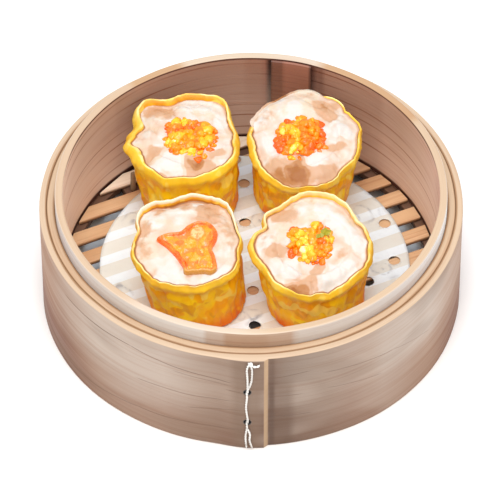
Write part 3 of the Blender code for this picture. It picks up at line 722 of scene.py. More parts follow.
def grain_line(azimuth, z, line):
    """How strongly one long grain line shows, thin at both its ends."""
    start, start_height, end, end_height, strength = line
    slope = (end_height - start_height) / 1000 / (end - start)
    off = abs(z - (azimuth - start) * slope - start_height / 1000)
    near = off.span(GRAIN_LINE_HALF_WIDTH * 0.4, GRAIN_LINE_HALF_WIDTH * 1.8, strength, 0)
    return near * azimuth.pulse(start, end, 1.2)


def eyelet_rings(graph):
    """1 in the eyelets and on a narrow ring round each."""
    ways = [graph.hypot(graph.x - EYELET_X, graph.z - height) for height in EYELET_HEIGHTS]
    near = graph.math("MINIMUM", *ways).span(EYELET_RADIUS + 0.0003, EYELET_RADIUS + 0.0001)
    return near * graph.y.span(0, -0.001)


def outer_band_material():
    graph = HoopBamboo("bamboo_outer_band", 620, 2300)
    azimuth = graph.azimuth()
    wander = graph.noise(45)
    lines = 0
    for line in GRAIN_LINES:
        shown = grain_line(azimuth, graph.z + wander * 0.0016 - 0.0008, line)
        lines = graph.math("MAXIMUM", lines, shown)
    top = graph.shade(srgb((245, 216, 186), TOP_LIGHT), 0.35)
    # Painted shade: the top darkens along its inner edge beside the groove.
    groove_shade = (graph.from_axis() + wander * 0.0008).span(BAND_INNER + 0.0013, BAND_INNER + 0.0008)
    top = graph.paint(top, (groove_shade * 0.85, 186, 138, 94), light=TOP_LIGHT)
    side = graph.mark("side")
    # The band's inner wall, down in the groove, is painted dark as shade.
    tone = graph.paint(top, (side.span(0.3, 0.1), 120, 88, 66))
    tone = graph.mix(side.span(1.72, 1.9), tone, band_face(graph, azimuth, wander, lines))
    tone = graph.paint(tone, (eyelet_rings(graph), 72, 68, 66))
    return graph.finish_bamboo(tone, 0.48, 0.00012, 0.00007, (lines * -1, 0.00015))


def band_face(graph, azimuth, wander, lines):
    """The outer band's face: weathered patches, grain lines, painted shade towards its foot, and the
    lap with painted shade over it and painted shadow beside it.
    """
    face = graph.ramp(azimuth, BAND_FACE_TONES, FRONT_LIGHT)
    # Painted shade: darker and browner towards the foot.
    face = graph.darken((graph.z + wander * 0.01).span(0.034, 0.01), face, 211, 188, 173)
    patch = graph.drawn_out(22, 60)
    pale = patch.span(0.5, 0.66, 0, 0.3) * abs(azimuth).span(72, 54)
    brown = patch.span(0.46, 0.32, 0, 0.42)
    patches = (pale, 214, 196, 182), (brown, 150, 124, 104)
    face = graph.shade(graph.paint(face, *patches, light=FRONT_LIGHT), 0.33)
    bevel = azimuth.pulse(LAP_TOP + 0.1, LAP_FOOT - 0.05, 0.15)
    # shadow and beside are the proud lap's painted shadow on the band just past its foot.
    below_middle = graph.z.span(0.038, 0.027)
    shadow = below_middle * 0.52 + graph.z.span(0.022, 0.01, 0, 0.28)
    shadow = azimuth.pulse(LAP_FOOT, LAP_RUN_OUT, 1.5) * shadow
    beside = azimuth.pulse(LAP_FOOT + 0.1, LAP_FOOT + 1.6, 0.5) * (below_middle * 0.42 + 0.45)
    face = graph.paint(
        face, (lines * 0.85, 120, 88, 67), (bevel, 214, 178, 140), (shadow, 112, 82, 62),
        (beside, 100, 72, 55), light=FRONT_LIGHT,
    )
    # Painted shade low on the sides.
    low_side_shade = abs(azimuth).span(32, 58) * graph.z.span(0.028, 0.012)
    face = graph.darken(low_side_shade, face, 233, 212, 194)
    # Painted shade over the lap itself.
    lap = azimuth.pulse(-LAP_RUN_OUT * 0.45, LAP_TOP - 0.4, 1.6) * 0.6
    return graph.paint(face, (lap, 132, 104, 83), light=FRONT_LIGHT)


def inner_band_material():
    graph = HoopBamboo("bamboo_inner_band", 800, 2600)
    uneven = graph.from_axis() + graph.noise(60) * 0.0008
    inner_edge = uneven.span(HOOP_OUTER + 0.0014, HOOP_OUTER + 0.0009)
    edge = graph.math("MAXIMUM", inner_edge, uneven.span(BAND_INNER - 0.0002, BAND_INNER + 0.0002))
    # Painted shade: the top darkens at both edges beside its grooves, and the band is painted dark
    # below the floor.
    tone = graph.shade(srgb((241, 208, 174), TOP_LIGHT), 0.4)
    tone = graph.paint(tone, (edge * 0.85, 186, 138, 94), light=TOP_LIGHT)
    tone = graph.paint(tone, (graph.z.span(FLOOR_TOP, FLOOR_TOP - 0.002), 112, 78, 58))
    return graph.finish_bamboo(tone, 0.45, 0.0001, 0.00006)


def slat_material():
    """Split bamboo, painted darker below its top as shade. The mark tone is 1 on a cream slat and -1
    on a grey peg.
    """
    graph = SlatBamboo("bamboo_slat", 750, 2400)
    mark = graph.mark("tone")
    patch = graph.fibres(60, 30).span(0.35, 0.65)
    tone = graph.paint(
        srgb((198, 150, 105)), (patch, 213, 172, 129), (mark, 247, 224, 196),
        (mark.span(-0.2, -0.8), 150, 128, 102),
    )
    # Painted shade: darker on the sides just below the top and darkest lower down, so the bars and
    # ring are dark all over.
    edge = graph.z.span(FLOOR_TOP - 0.0003, FLOOR_TOP - 0.001) * 0.75
    below = graph.z.span(FLOOR_TOP - 0.0009, FLOOR_TOP - 0.0016) * 0.9
    tone = graph.paint(graph.shade(tone, 0.55), (edge, 140, 96, 62), (below, 100, 68, 50))
    return graph.finish_bamboo(tone, 0.45, 0.00012, 0.00007)


def paper_material():
    """Damp paper: beige stripes where it lies on slats, painted grey shade in its creases and crumples
    and painted brown shade on its underside.
    """
    graph = Graph("paper")
    cell = graph.over_slats() * (1 / SLAT_PITCH) + (0.5 - SLAT_SHIFT / SLAT_PITCH)
    edge = SLAT_WIDTH / SLAT_PITCH / 2
    on_slat = abs(graph.math("FRACT", cell) - 0.5).span(edge + 0.012, edge - 0.022)
    soft = graph.noise(140, 3)
    fibre = graph.noise(900, 4, Roughness=0.7)
    white = graph.paint(srgb((235, 247, 255)), (soft, 240, 247, 255))
    beige = graph.paint(srgb((222, 219, 205)), (soft, 231, 231, 220))
    tone = graph.mix(on_slat, white, beige)
    # Painted shade: the crease mark greys the creases and crumpled spots, and faces turned down are
    # painted brown.
    facing = graph.node("SeparateXYZ", {0: graph.node("NewGeometry", {}, "True Normal")}, "Z")
    tone = graph.paint(
        graph.darken(graph.x.span(0.02, 0.045), tone, 240, 239, 240),
        (graph.mark("crease").span(0.2, 0.8) * 0.85, 150, 150, 152),
        (fibre.span(0.55, 0.75) * 0.12, 190, 180, 172), (facing.span(-0.1, -0.5), 150, 116, 92),
    )
    rough = soft.span(0.35, 0.65, 0.42, 0.6)
    return graph.finish(tone, rough, (soft, 0.0003), (fibre, 0.00006), through=(0.2, 1, 0.9, 0.8))


def cord_material():
    graph = Graph("cotton_cord")
    lint = graph.noise(2600, 3)
    soil = graph.noise(260).span(0.4, 0.7)
    dark = lint.span(0.5, 0.8, 0, 0.5)
    tone = graph.paint(srgb((232, 229, 224)), (soil, 206, 200, 193), (dark, 176, 168, 160))
    return graph.finish(tone, lint.span(0.3, 0.7, 0.75, 0.95), (lint, 0.00008))


def wrapper_material():
    """Steamed egg dough. The mark along is 0 at the foot, 1 on the lip and more inside."""
    graph = Graph("wrapper_dough")
    spot = graph.join(graph.x, graph.y, graph.z * 0.8)
    along = graph.mark("along")
    side = graph.mark("side")
    crest = graph.mark("crest")
    patch = graph.noise(130, at=spot, Distortion=0.8)
    small = graph.noise(420, 3, spot)
    low_part = along.span(0.95, 0.65)
    gold = graph.noise(105, 1.5, spot).span(0.48, 0.54) * low_part
    amber = graph.noise(120, 1.5, "yzx").span(0.52, 0.57) * low_part
    ochre = graph.noise(150, 1.5, "xzy").span(0.56, 0.61) * low_part
    light = graph.noise(150, 1, "zxy").span(0.57, 0.62) * along.span(0.15, 0.4)
    glint = graph.noise(210, 1, spot).span(0.4, 0.55, 0.1, 0.6)
    # Painted light on the dough: side paints its left and right sides deeper orange as shade, glint
    # and crest paint highlights along the lip, and the brown just inside the lip is painted shade.
    tone = graph.paint(
        graph.ramp((along + patch * 0.3 - 0.15) * 0.8, DOUGH_TONES),
        (gold * 0.75, 250, 208, 22), (amber * 0.7, 236, 150, 6), (ochre * 0.65, 214, 142, 8),
        (light * 0.7, 255, 218, 96), (side * along.span(1, 0.2) * 0.22, 226, 108, 4),
        (along.pulse(0.97, 1.01, 0.012) * glint, 255, 240, 186),
        (side * along.pulse(0.84, 1.04, 0.04) * 0.55, 216, 158, 52),
        (along.span(1.065, 1.085) * (crest * 0.55 + 0.35), 186, 112, 42),
        (crest * along.pulse(0.93, 1.042, 0.01) * 0.92, 236, 225, 196),
    )
    return graph.finish(
        tone, small.span(0.35, 0.65, 0.36, 0.52), (patch, 0.0006), (small, 0.00012),
        through=(0.1, 1, 0.6, 0.2), Specular_IOR_Level=0.12,
    )


def filling_material():
    """Minced pork and prawn. The mark dip is high in hollows and round the lip, both painted darker as
    shade, and the second mark is painted shade where above 0 and a painted highlight where below 0.
    """
    graph = Graph("filling_mince")
    dip = graph.mark("dip")
    soft = graph.noise(130, Distortion=0.5)
    middle = graph.noise(260)
    small = graph.noise(620, 3)
    cream = graph.noise(100, 1.5, "zyx").span(0.53, 0.6, 0, 0.5)
    pink = graph.noise(120, 1.5, "yxz").span(0.54, 0.6, 0, 0.35)
    # Painted light on the mince: its ramp darkens the hollows as shade, the spots paint shade and
    # highlights, and the high dip round the lip paints a thin brown line of shade.
    blush = graph.mark("blush") + middle * 0.5 + small * 0.2 - 0.35
    tone = graph.paint(
        graph.ramp(dip + soft * 1.5 - 0.8, MINCE_TONES, FOOD_LIGHT),
        (cream, 253, 230, 198), (pink, 250, 214, 190),
        (blush.span(-0.15, -0.45, 0, 0.8), 254, 252, 248),
        (blush.span(0.12, 0.34, 0, 0.9), 236, 186, 146),
        (blush.span(0.58, 0.82, 0, 0.9), 207, 142, 82),
        (blush.span(0.95, 1.15, 0, 0.9), 186, 118, 60),
        (dip.span(1.3, 1.7, 0, 0.9), 186, 118, 62), light=FOOD_LIGHT,
    )
    return graph.finish(
        tone, small.span(0.35, 0.65, 0.36, 0.55), (soft, 0.0003), (middle, 0.0003),
        (small, 0.00012), through=(0.15, 1, 0.6, 0.4), Specular_IOR_Level=0.3,
    )


def roe_material():
    """Wet roe. The mark grain runs from red-orange at 0 to pale cream at 1, the palest tones being
    painted highlights.
    """
    graph = Graph("roe")
    cloud = graph.noise(520)
    tone = graph.ramp(graph.mark("grain") + cloud * 0.7 - 0.35, ROE_COLOURS)
    return graph.finish(
        tone, cloud.span(0.35, 0.65, 0.14, 0.28), (cloud, 0.0002), through=(0.2, 1, 0.6, 0.2),
        Coat_Weight=0.25, Coat_Roughness=0.1, Specular_IOR_Level=0.35,
    )


def prawn_material():
    """Cooked prawn. The marks are depth, the way in from its outline, and curl, the way from the
    middle of its curl, both in millimetres, and cut, 1 along its front edge, which is tan, not red."""
    graph = Graph("prawn")
    soft = graph.noise(330)
    small = graph.noise(1300)
    from_curl = graph.mark("curl") + graph.noise(230, at="zyx") * 5 - 2.5
    stroke = graph.noise(700, 1, "yxz").span(0.54, 0.6) * from_curl.span(3.2, 2.4)
    flesh = graph.paint(
        srgb((228, 132, 54)),
        (graph.noise(170, 1).span(0.44, 0.5), 240, 150, 10),
        (graph.noise(380, 1).span(0.56, 0.62, 0, 0.6), 246, 176, 76),
        (graph.noise(240, 1, "yzx").span(0.56, 0.62, 0, 0.6), 228, 112, 36),
        (graph.noise(300, 1, "zxy").span(0.61, 0.66, 0, 0.8), 250, 112, 30),
        (from_curl.span(3, 2.4, 0, 0.85), 248, 192, 132),
        (stroke * 0.7, 244, 132, 56), (from_curl.pulse(2.8, 3.5, 0.2) * 0.6, 246, 128, 36),
    )
    ruddy = soft.span(0.35, 0.65)
    skin = graph.paint(
        srgb((250, 92, 12)), (ruddy, 254, 128, 36), (graph.mark("cut"), 206, 146, 64)
    )
    inside = (graph.mark("depth") + soft * 1.6 - 0.8).span(1.4, 1.9)
    return graph.finish(
        graph.mix(inside, skin, flesh), small.span(0.35, 0.65, 0.2, 0.35), (soft, 0.00015),
        (small, 0.00003), through=(0.15, 1, 0.5, 0.2), Coat_Weight=0.2, Coat_Roughness=0.12,
    )


def herb_material():
    graph = Graph("herb")
    vein = graph.noise(1800)
    tone = graph.paint(srgb((118, 116, 6)), (vein, 186, 168, 20))
    return graph.finish(tone, vein.span(0.3, 0.7, 0.35, 0.55), (vein, 0.00006))


# The basket

def rounded_section(inner, outer, bottom, top, wall_rows, rounding=STRIP_ROUNDING):
    """A strip's cross-section as rows of (radius, z, side), up the inner wall and down the outer.

    side is 0 on the inner wall, 1 on top, 2 on the outer wall and 3 below.
    """
    radii = [inner + rounding, outer - rounding, outer - rounding, inner + rounding]
    heights = [top - rounding, top - rounding, bottom + rounding, bottom + rounding]
    arcs = []
    for index in range(4):
        side = index + np.linspace(0, 1, 5)
        angle = np.radians(180 - 90 * side)
        radius = radii[index] + rounding * np.cos(angle)
        arcs.append(grid_of(radius, heights[index] + rounding * np.sin(angle), side % 4))
    rows = []
    for index in range(4):
        steps = wall_rows if index % 2 else 3
        straight = np.linspace(arcs[index][-1], arcs[(index + 1) % 4][0], steps + 1)[1:-1]
        straight[:, 2] = (index + 1) % 4
        rows += [arcs[index], straight]
    return np.concatenate(rows)


def ring_mesh(name, sizes, azimuths, swell=0, closed=True):
    """A slightly uneven strip bent round the basket's axis, its outer wall out by the swell."""
    turn = np.radians(azimuths)[:, None]
    radius, height, side = rounded_section(*sizes).T[:, None, :]
    waves = np.sin(3 * turn + 1) + 0.6 * np.sin(7 * turn + 60 * height + 2)
    waves += 0.5 * np.sin(13 * turn - 90 * height)
    outside = smoothstep(side, 1.3, 2) * (side < 2.9)
    radius = radius + STRIP_WAVES * waves + np.reshape(swell, (-1, 1)) * outside
    drop = 1.7 + np.sin(5 * turn + 2) + 0.5 * np.sin(17 * turn)
    z = height - STRIP_WAVES * smoothstep(height, height.max() - 0.004, height.max()) * drop
    shape = Shape("side")
    grid = grid_of(radius * np.sin(turn), AXIS_Y - radius * np.cos(turn), z)
    shape.add_grid(grid, closed, side=side)
    return shape.to_mesh(name, 40)


def lap_height(azimuths):
    """How far the outer band stands proud where its end laps over the turn below."""
    rise = LAP_PROUD * smoothstep(azimuths, -LAP_RUN_OUT, 0)
    return rise * np.clip((LAP_FOOT - azimuths) / (LAP_FOOT - LAP_TOP), 0, 1)


def cut_with(mesh, cutters):
    """Cuts cutters out of a mesh and returns the new mesh."""
    body = add_object("cut_body", mesh)
    for cutter in cutters:
        cut = body.modifiers.new(cutter.name, "BOOLEAN")
        cut.operation = "DIFFERENCE"
        cut.solver = "EXACT"
        cut.object = cutter
    graph = bpy.context.evaluated_depsgraph_get()
    made = bpy.data.meshes.new_from_object(body.evaluated_get(graph))
    for obj in [body, *cutters]:
        bpy.data.objects.remove(obj, do_unlink=True)
    return made


def eyelet_cutter(height):
    bm = bmesh.new()
    spin = Matrix.Rotation(math.radians(90), 4, "X")
    place = Matrix.Translation((EYELET_X, AXIS_Y - OUTER_RADIUS, height))
    bmesh.ops.create_cone(
        bm, cap_ends=True, segments=40, radius1=EYELET_RADIUS, radius2=EYELET_RADIUS,
        depth=0.012, matrix=place @ spin,
    )
    mesh = bpy.data.meshes.new("eyelet_cutter")
    bm.to_mesh(mesh)
    bm.free()
    return add_object("eyelet_cutter", mesh)


def mark_eyelets(mesh):
    """Gives the outer wall's mark to the points round the eyelets on the outer face."""
    middle = AXIS_Y - (OUTER_RADIUS + BAND_INNER) / 2
    for vert, mark in zip(mesh.vertices, mesh.attributes["side"].data):
        ways = [math.hypot(vert.co.x - EYELET_X, vert.co.z - height) for height in EYELET_HEIGHTS]
        if min(ways) < 2.5 * EYELET_RADIUS and vert.co.y < middle:
            mark.value = 2


def build_hoops():
    even = np.arange(-180, 180, 1)
    mesh = ring_mesh("rim_hoop", (HOOP_INNER, HOOP_OUTER, HOOP_BOTTOM, RIM_TOP, 12), even)
    add_piece("rim_hoop", mesh, rim_hoop_material(), "bamboo_rim", "inner_hoop")
    sizes = (HOOP_OUTER + 0.00004, BAND_INNER - 0.00004, 0, BAND_TOP, 6)
    mesh = ring_mesh("lower_inner_band", sizes, even)
    add_piece("lower_inner_band", mesh, inner_band_material(), "bamboo_band", "inner_band")

    sizes = (BAND_INNER, OUTER_RADIUS - 0.0001, 0, BAND_TOP, 14)
    stations = np.unique(np.concatenate([even, np.arange(-12, 6, 0.25)]))
    mesh = ring_mesh("lower_outer_band", sizes, stations, lap_height(stations))
    mesh = cut_with(mesh, [eyelet_cutter(height) for height in EYELET_HEIGHTS])
    mesh.set_sharp_from_angle(angle=math.radians(40))
    mark_eyelets(mesh)
    add_piece("lower_outer_band", mesh, outer_band_material(), "bamboo_band", "outer_band")

    outer = HOOP_INNER - GAP
    sizes = (outer - SPLICE_WALL, outer, FLOOR_TOP + GAP, RIM_TOP - STRIP_ROUNDING, 10, 0.0003)
    mesh = ring_mesh("rim_splice", sizes, np.linspace(SPLICE_FROM, SPLICE_TO, 24), closed=False)
    add_piece("rim_splice", mesh, splice_material(), "bamboo_rim", "inner_splice")


def strip_section(width, thickness, rounding):
    """A slat's cross-section as (y, z) rows."""
    arcs = []
    for index, side in enumerate([(1, 1), (-1, 1), (-1, -1), (1, -1)]):
        angle = np.radians(90 * (index + np.linspace(0, 1, 4)))
        corner = np.array(side) * (np.array([width, thickness]) / 2 - rounding)
        arcs.append(corner + rounding * grid_of(np.cos(angle), np.sin(angle)))
    return np.concatenate(arcs)


def add_strip(name, along, over, z, turn, tone, material, node):
    """A piece from points given along a strip and over it, turned round the basket's axis."""
    cos, sin = math.cos(math.radians(turn)), math.sin(math.radians(turn))
    shape = Shape("tone")
    grid = grid_of(along * cos - over * sin, along * sin + over * cos + AXIS_Y, z)
    shape.add_grid(grid, tone=tone)
    shape.to_piece(name, material, "bamboo_slat", node, sharp_angle=50)


def build_strip(name, node, across, size, reach, height, turn, seed, material, tone=0):
    """A split strip across the basket, with its ends cut to a circle round the axis."""
    width, thickness = size
    wide, thick = strip_section(width, thickness, min(0.0004, thickness / 4)).T[:, None, :]
    share = np.linspace(-1, 1, 61)[:, None]
    draw = random.Random(seed)
    phases = [draw.uniform(0, math.tau) for _ in range(3)]
    narrow = 1 - 0.03 * (1 + np.sin(5 * share + phases[0])) / 2
    over = across + wide * narrow + 0.00012 * np.sin(4 * share + phases[1])
    z = height + thick - 0.00006 * (1 + np.sin(6 * share + phases[2]))
    along = share * np.sqrt(reach ** 2 - np.minimum(np.abs(over), reach * 0.999) ** 2)
    add_strip(name, along, over, z, turn, tone, material, node)


def build_floor():
    material = slat_material()
    count = 2 * SLATS_EACH_SIDE + 1
    size, height = (SLAT_WIDTH, SLAT_THICKNESS), FLOOR_TOP - SLAT_THICKNESS / 2
    for index in range(count):
        number = f"slat_{index + 1:02d}"
        across = SLAT_SHIFT + (index - SLATS_EACH_SIDE) * SLAT_PITCH
        tone = 1 if index == count - 1 else 0
        build_strip(
            f"floor_{number}", number, across, size, SLAT_REACH, height, SLAT_TURN, index, material,
            tone,
        )
    size, height = (BAR_WIDTH, RING_TOP - RING_BOTTOM), (RING_TOP + RING_BOTTOM) / 2
    for name, across in (("left", BAR_OFFSET), ("right", -BAR_OFFSET)):
        build_strip(
            f"floor_bar_{name}", f"cross_bar_{name}", across, size, RING_INNER - GAP - 0.0001,
            height, SLAT_TURN + 90, 40 + len(name), material,
        )
    sizes = (RING_INNER, HOOP_OUTER, RING_BOTTOM, RING_TOP, 3, 0.0003)
    mesh = ring_mesh("floor_ring", sizes, np.arange(-180, 180, 2))
    add_piece("floor_ring", mesh, material, "bamboo_slat", "base_ring")
    build_peg(material)


def build_peg(material):
    """A split stick with corners rounded by wear that leans a little."""
    share = np.linspace(0, 1, 14)[:, None]
    width = 1 - 0.1 * share - 0.25 * np.maximum(0, share - 0.93) / 0.07
    x, y = strip_section(PEG_SIZE, PEG_SIZE, 0.0003).T[:, None, :]
    along = x * width + 0.00015 * share - BAR_OFFSET
    over = y * width + SLAT_SHIFT + (SLATS_EACH_SIDE - 0.5) * SLAT_PITCH
    z = RING_TOP + GAP + PEG_HEIGHT * share
    add_strip("floor_peg", along, over, z, SLAT_TURN, -1, material, "slat_peg")


# The paper

def circle_points(centre, radius, count, uneven=0):
    angle = math.tau * np.arange(count) / count
    size = radius + uneven * (np.sin(3 * angle) + 0.5 * np.sin(11 * angle + 1))
    return np.array(centre) + grid_of(size * np.cos(angle), size * np.sin(angle))


def paper_triangles():
    """The paper's flat points and triangles, open at its holes."""
    circles = [circle_points(PAPER_CENTRE, PAPER_RADIUS - 0.0002, 220, 0.00012)]
    circles += [circle_points(centre, HOLE_RADIUS, 32) for centre in HOLE_CENTRES]
    points = []
    edges = []
    for circle in circles:
        index = [len(points) + i for i in range(len(circle))]
        edges += zip(index, index[1:] + index[:1])
        points += circle.tolist()
    count = int(PAPER_RADIUS / PAPER_SPACING) + 1
    for row in range(-count - 8, count + 9):
        for column in range(-count, count + 1):
            x = PAPER_CENTRE[0] + (column + 0.5 * (row % 2)) * PAPER_SPACING
            y = PAPER_CENTRE[1] + row * PAPER_SPACING * 0.866
            inside = math.dist((x, y), PAPER_CENTRE) < PAPER_RADIUS - 0.001
            from_hole = min(math.dist((x, y), centre) for centre in HOLE_CENTRES) - HOLE_RADIUS
            if inside and from_hole > 0.6 * PAPER_SPACING:
                points.append((x, y))
    spots = [Vector(point) for point in points]
    verts, _, faces, *_ = geometry.delaunay_2d_cdt(spots, edges, [], 0, 1e-7)
    verts = np.array([tuple(vert) for vert in verts])
    kept = []
    for face in faces:
        middle = verts[list(face)].mean(axis=0)
        if min(math.dist(middle, centre) for centre in HOLE_CENTRES) >= HOLE_RADIUS * 0.985:
            kept.append(face)
    return verts, kept


def paper_relief(x, y):
    """(height over the flat paper, how creased it is) at each point."""
    over = (y * SLAT_COS - x * SLAT_SIN - SLAT_SHIFT) / SLAT_PITCH
    sharp = 1 - np.minimum(1, np.abs(bumps(x * 90, y * 90, 3)) * 9)
    height = 0.0001 * sharp ** 2 - 0.00022 * (0.5 - 0.5 * np.cos(math.tau * over)) ** 2
    crease = 0.3 * sharp ** 4
    cloud = np.clip(0.5 + 0.9 * bumps(x * 260, y * 260, 6), 0.2, 1)
    for cx, cy, size in CRUMPLES:
        away = np.hypot(x - cx, y - cy)
        fade = np.exp(-(away / size) ** 2)
        fade = fade * (fade >= 0.02)
        bend = 0.0034 * bumps(x * 170, y * 170, cx * 900)
        ridge = 1 - np.abs(np.sin(math.pi * (away + bend) / CRUMPLE_PITCH))
        height += 0.00035 * fade * ridge ** 2
        crease = np.maximum(crease, fade * (0.42 * cloud + 0.55 * ridge ** 1.6))
    return height, crease


def build_paper():
    spots, faces = paper_triangles()
    x, y = spots.T
    height, crease = paper_relief(x, y)
    shape = Shape("crease")
    shape.add_points(grid_of(x, y + AXIS_Y, PAPER_TOP + height).tolist(), crease=crease)
    shape.faces = faces
    piece = shape.to_piece("paper_sheet", paper_material(), "paper", "paper_liner")
    if piece.data.polygons[0].normal.z < 0:
        piece.data.flip_normals()
    shell = piece.modifiers.new("thickness", "SOLIDIFY")
    shell.thickness = PAPER_THICKNESS
    shell.offset = -1


# The shumai

def spill_share(shumai, angle, widest, narrowest):
    """How far the filling spills over the rim at an angle, from none to all."""
    return shumai.spill * smoothstep(np.abs(angle_between(angle, SPILL_AT)), widest, narrowest)


class Rim:
    """A shumai's rim, with its radius, its height and how far its lip curls in at each angle."""

    def __init__(self, shumai):
        self.shumai = shumai
        self.turns = math.tau * np.arange(FOOD_ANGLES) / FOOD_ANGLES
        self.cos = np.cos(self.turns)
        self.sin = np.sin(self.turns)
        self.radius = self.find_radius()
        self.height = self.find_height()
        ways = np.maximum(0, [self.cos, self.sin, -self.cos, -self.sin]) ** 2
        uneven = 1 + 0.6 * self.bumps(2.8, 2.8 * (shumai.seed + 0.5))
        self.curl = uneven * (np.array(shumai.curl) @ ways)

    def bumps(self, scale, z):
        return bumps(self.cos * scale, self.sin * scale, z)

    def find_radius(self):
        """Rounded corners, pleats and a few deep folds."""
        half_x, half_y = self.shumai.top_half
        radius = half_x * half_y / np.hypot(half_y * self.cos, half_x * self.sin)
        corner, bulge = self.shumai.corner
        radius += bulge * np.cos(4 * (self.turns - corner))
        radius += PLEAT_DEPTH * np.cos(PLEATS * self.turns + self.shumai.seed)
        for fold_angle, depth in self.shumai.folds:
            radius -= depth * np.exp(-(angle_between(self.turns, fold_angle) / FOLD_WIDTH) ** 2)
        return radius

    def find_height(self):
        """The height over the foot, with the lip's small waves and nicks."""
        shumai = self.shumai
        rise = math.tan(math.radians(shumai.tilt)) * self.radius * self.sin
        lift = CORNER_LIFT * np.cos(4 * (self.turns - shumai.corner[0]))
        drop = SPILL_DROP * spill_share(shumai, self.turns, 1.25, 0.6)
        for nick, depth, width in shumai.dips:
            near = 1 - np.abs(angle_between(self.turns, nick)) / width
            drop = drop + depth * np.maximum(0, near) ** 1.3
        waves = 0.0005 * self.bumps(3.3, 5.61 * shumai.seed)
        waves += 0.00022 * self.bumps(9, 15.3 * shumai.seed)
        return WRAPPER_HEIGHT + rise + lift - drop + waves

    def swell(self, level):
        """How far the dough stands out from its even form: creases, flaps and a rolled edge."""
        seed = self.shumai.seed
        slow = self.bumps(2.3, 1.4 * level + seed)
        crease = self.bumps(4.2, 1.5 * level - seed)
        dent = self.bumps(6.5, 4.5 * level + 2 * seed)
        fine = self.bumps(15, 7 * level + seed)
        roll = 0.00045 * math.exp(-((level - 0.9) / 0.05) ** 2)
        waist = 0.0006 * math.exp(-((level - 0.74) / 0.07) ** 2)
        body = math.sin(math.pi * min(level, 0.9) / 0.9 * 0.92 + 0.08) ** 0.5
        out = 0.0008 * slow * (0.4 + 0.6 * level) + 0.00015 * fine
        out += body * (0.0007 * (0.3 - np.minimum(1, np.abs(crease) * 3.5)) + 0.0009 * dent)
        out += roll * (1 + slow) - waist * (1 + 1.6 * slow)
        for at, reach, width in self.shumai.flaps:
            near = np.exp(-(angle_between(self.turns, at) / width) ** 2)
            out += reach * smoothstep(level, 0.8, 0.95) * near
        return out

    def ring(self, level, inset, lift=0):
        """The points at a share of the wrapper's height, moved in by inset and up by lift."""
        ends = zip(self.shumai.base, self.shumai.top_centre)
        x, y = (base + (top - base) * level for base, top in ends)
        radius = FOOT_RADIUS + (self.radius - FOOT_RADIUS) * level ** FLARE
        radius = radius - inset + self.swell(level)
        z = FOOD_BOTTOM - GAP * (1 - level) + self.height * level + lift
        return grid_of(x + radius * self.cos, y + radius * self.sin + AXIS_Y, z)

    def foot(self, height):
        return self.shumai.base[0], self.shumai.base[1] + AXIS_Y, PAPER_TOP + height


def wrapper_rows():
    """(along, level, inset, share of the lip's curl, lift) from the foot out, up and over."""
    rows = [(0, 0, 0.01, 0, 0), (0, 0, 0.004, 0, 0)]
    for angle in np.linspace(0, math.pi / 2, 5):
        inset = FOOT_ROUND * (1 - math.sin(angle))
        rows.append((0, 0, inset, 0, FOOT_ROUND * (1 - math.cos(angle))))
    for level in np.linspace(0.03, LIP_FROM, 32):
        rows.append((level, level, 0, 0, FOOT_ROUND * max(0, 1 - level / 0.3)))
    for part in np.arange(1, 13) / 12:
        level = LIP_FROM + (1 - LIP_FROM) * math.sin(part * math.pi / 2)
        rows.append((LIP_FROM + 0.15 * part, level, 0, 1 - math.cos(part * math.pi / 2), 0))
    for part in np.arange(1, 6) / 5:
        inset = LIP_ROUND * math.sin(part * math.pi / 2)
        lift = LIP_ROUND * (math.cos(part * math.pi / 2) - 1)
        rows.append((0.99 + 0.04 * part, 1, inset, 1, lift))
    rows += [(2 - level, level, LIP_ROUND, 1, 0) for level in np.linspace(0.95, 0.62, 9)]
    rows.append((1.8, 0.1, WRAPPER_WALL + 0.0002, 0.5, 0.0015))
    rows.append((1.9, 0.02, WRAPPER_WALL + 0.0006, 0.5, 0.001))
    rows.append((2, 0, 0.004, 0, WRAPPER_WALL))
    return rows


def build_wrapper(name, rim, material):
    grid = [
        rim.ring(level, inset + rim.curl * share, lift)
        for _, level, inset, share, lift in wrapper_rows()
    ]
    shape = Shape("along", "side", "crest")
    shape.add_grid(
        np.array(grid), poles=[rim.foot(0), rim.foot(WRAPPER_WALL)],
        along=np.array(wrapper_rows())[:, :1], side=np.abs(rim.cos) ** 5,
        crest=rim.shumai.crest * smoothstep(rim.sin, 0, 0.6),
    )
    shape.to_piece(f"{name}_dough", material, "wrapper", f"{name}_wrapper")


def top_plane(shumai, x, y):
    """The height of the sloping top surface before it bulges."""
    rise = math.tan(math.radians(shumai.tilt)) * (y - shumai.top_centre[1])
    return FOOD_BOTTOM + WRAPPER_HEIGHT - FILLING_SINK + rise


@np.vectorize
def cleft_depth(x, y, z):
    """How deep a place lies in the clefts between soft cells."""
    distances, _ = noise.voronoi(Vector((x, y, z)))
    return max(0.0, 1.0 - (distances[1] - distances[0]) * 2.6)


def mince_lumps(x, y, seed):
    """The mince's own relief, about -1 to 1: soft lumps with a few clefts between them."""
    warp = 0.0022 * bumps(x * 180, y * 180, seed)
    cleft = cleft_depth((x + warp) * 150, (y - warp) * 150, seed * 0.37)
    open_part = smoothstep(bumps(x * 90, y * 90, seed + 2), -0.1, 0.25)
    lumps = 0.68 * bumps(x * 150, y * 150, seed + 5) + 0.34 * bumps(x * 330, y * 330, seed + 9)
    return lumps + 0.2 - 0.75 * open_part * cleft ** 2


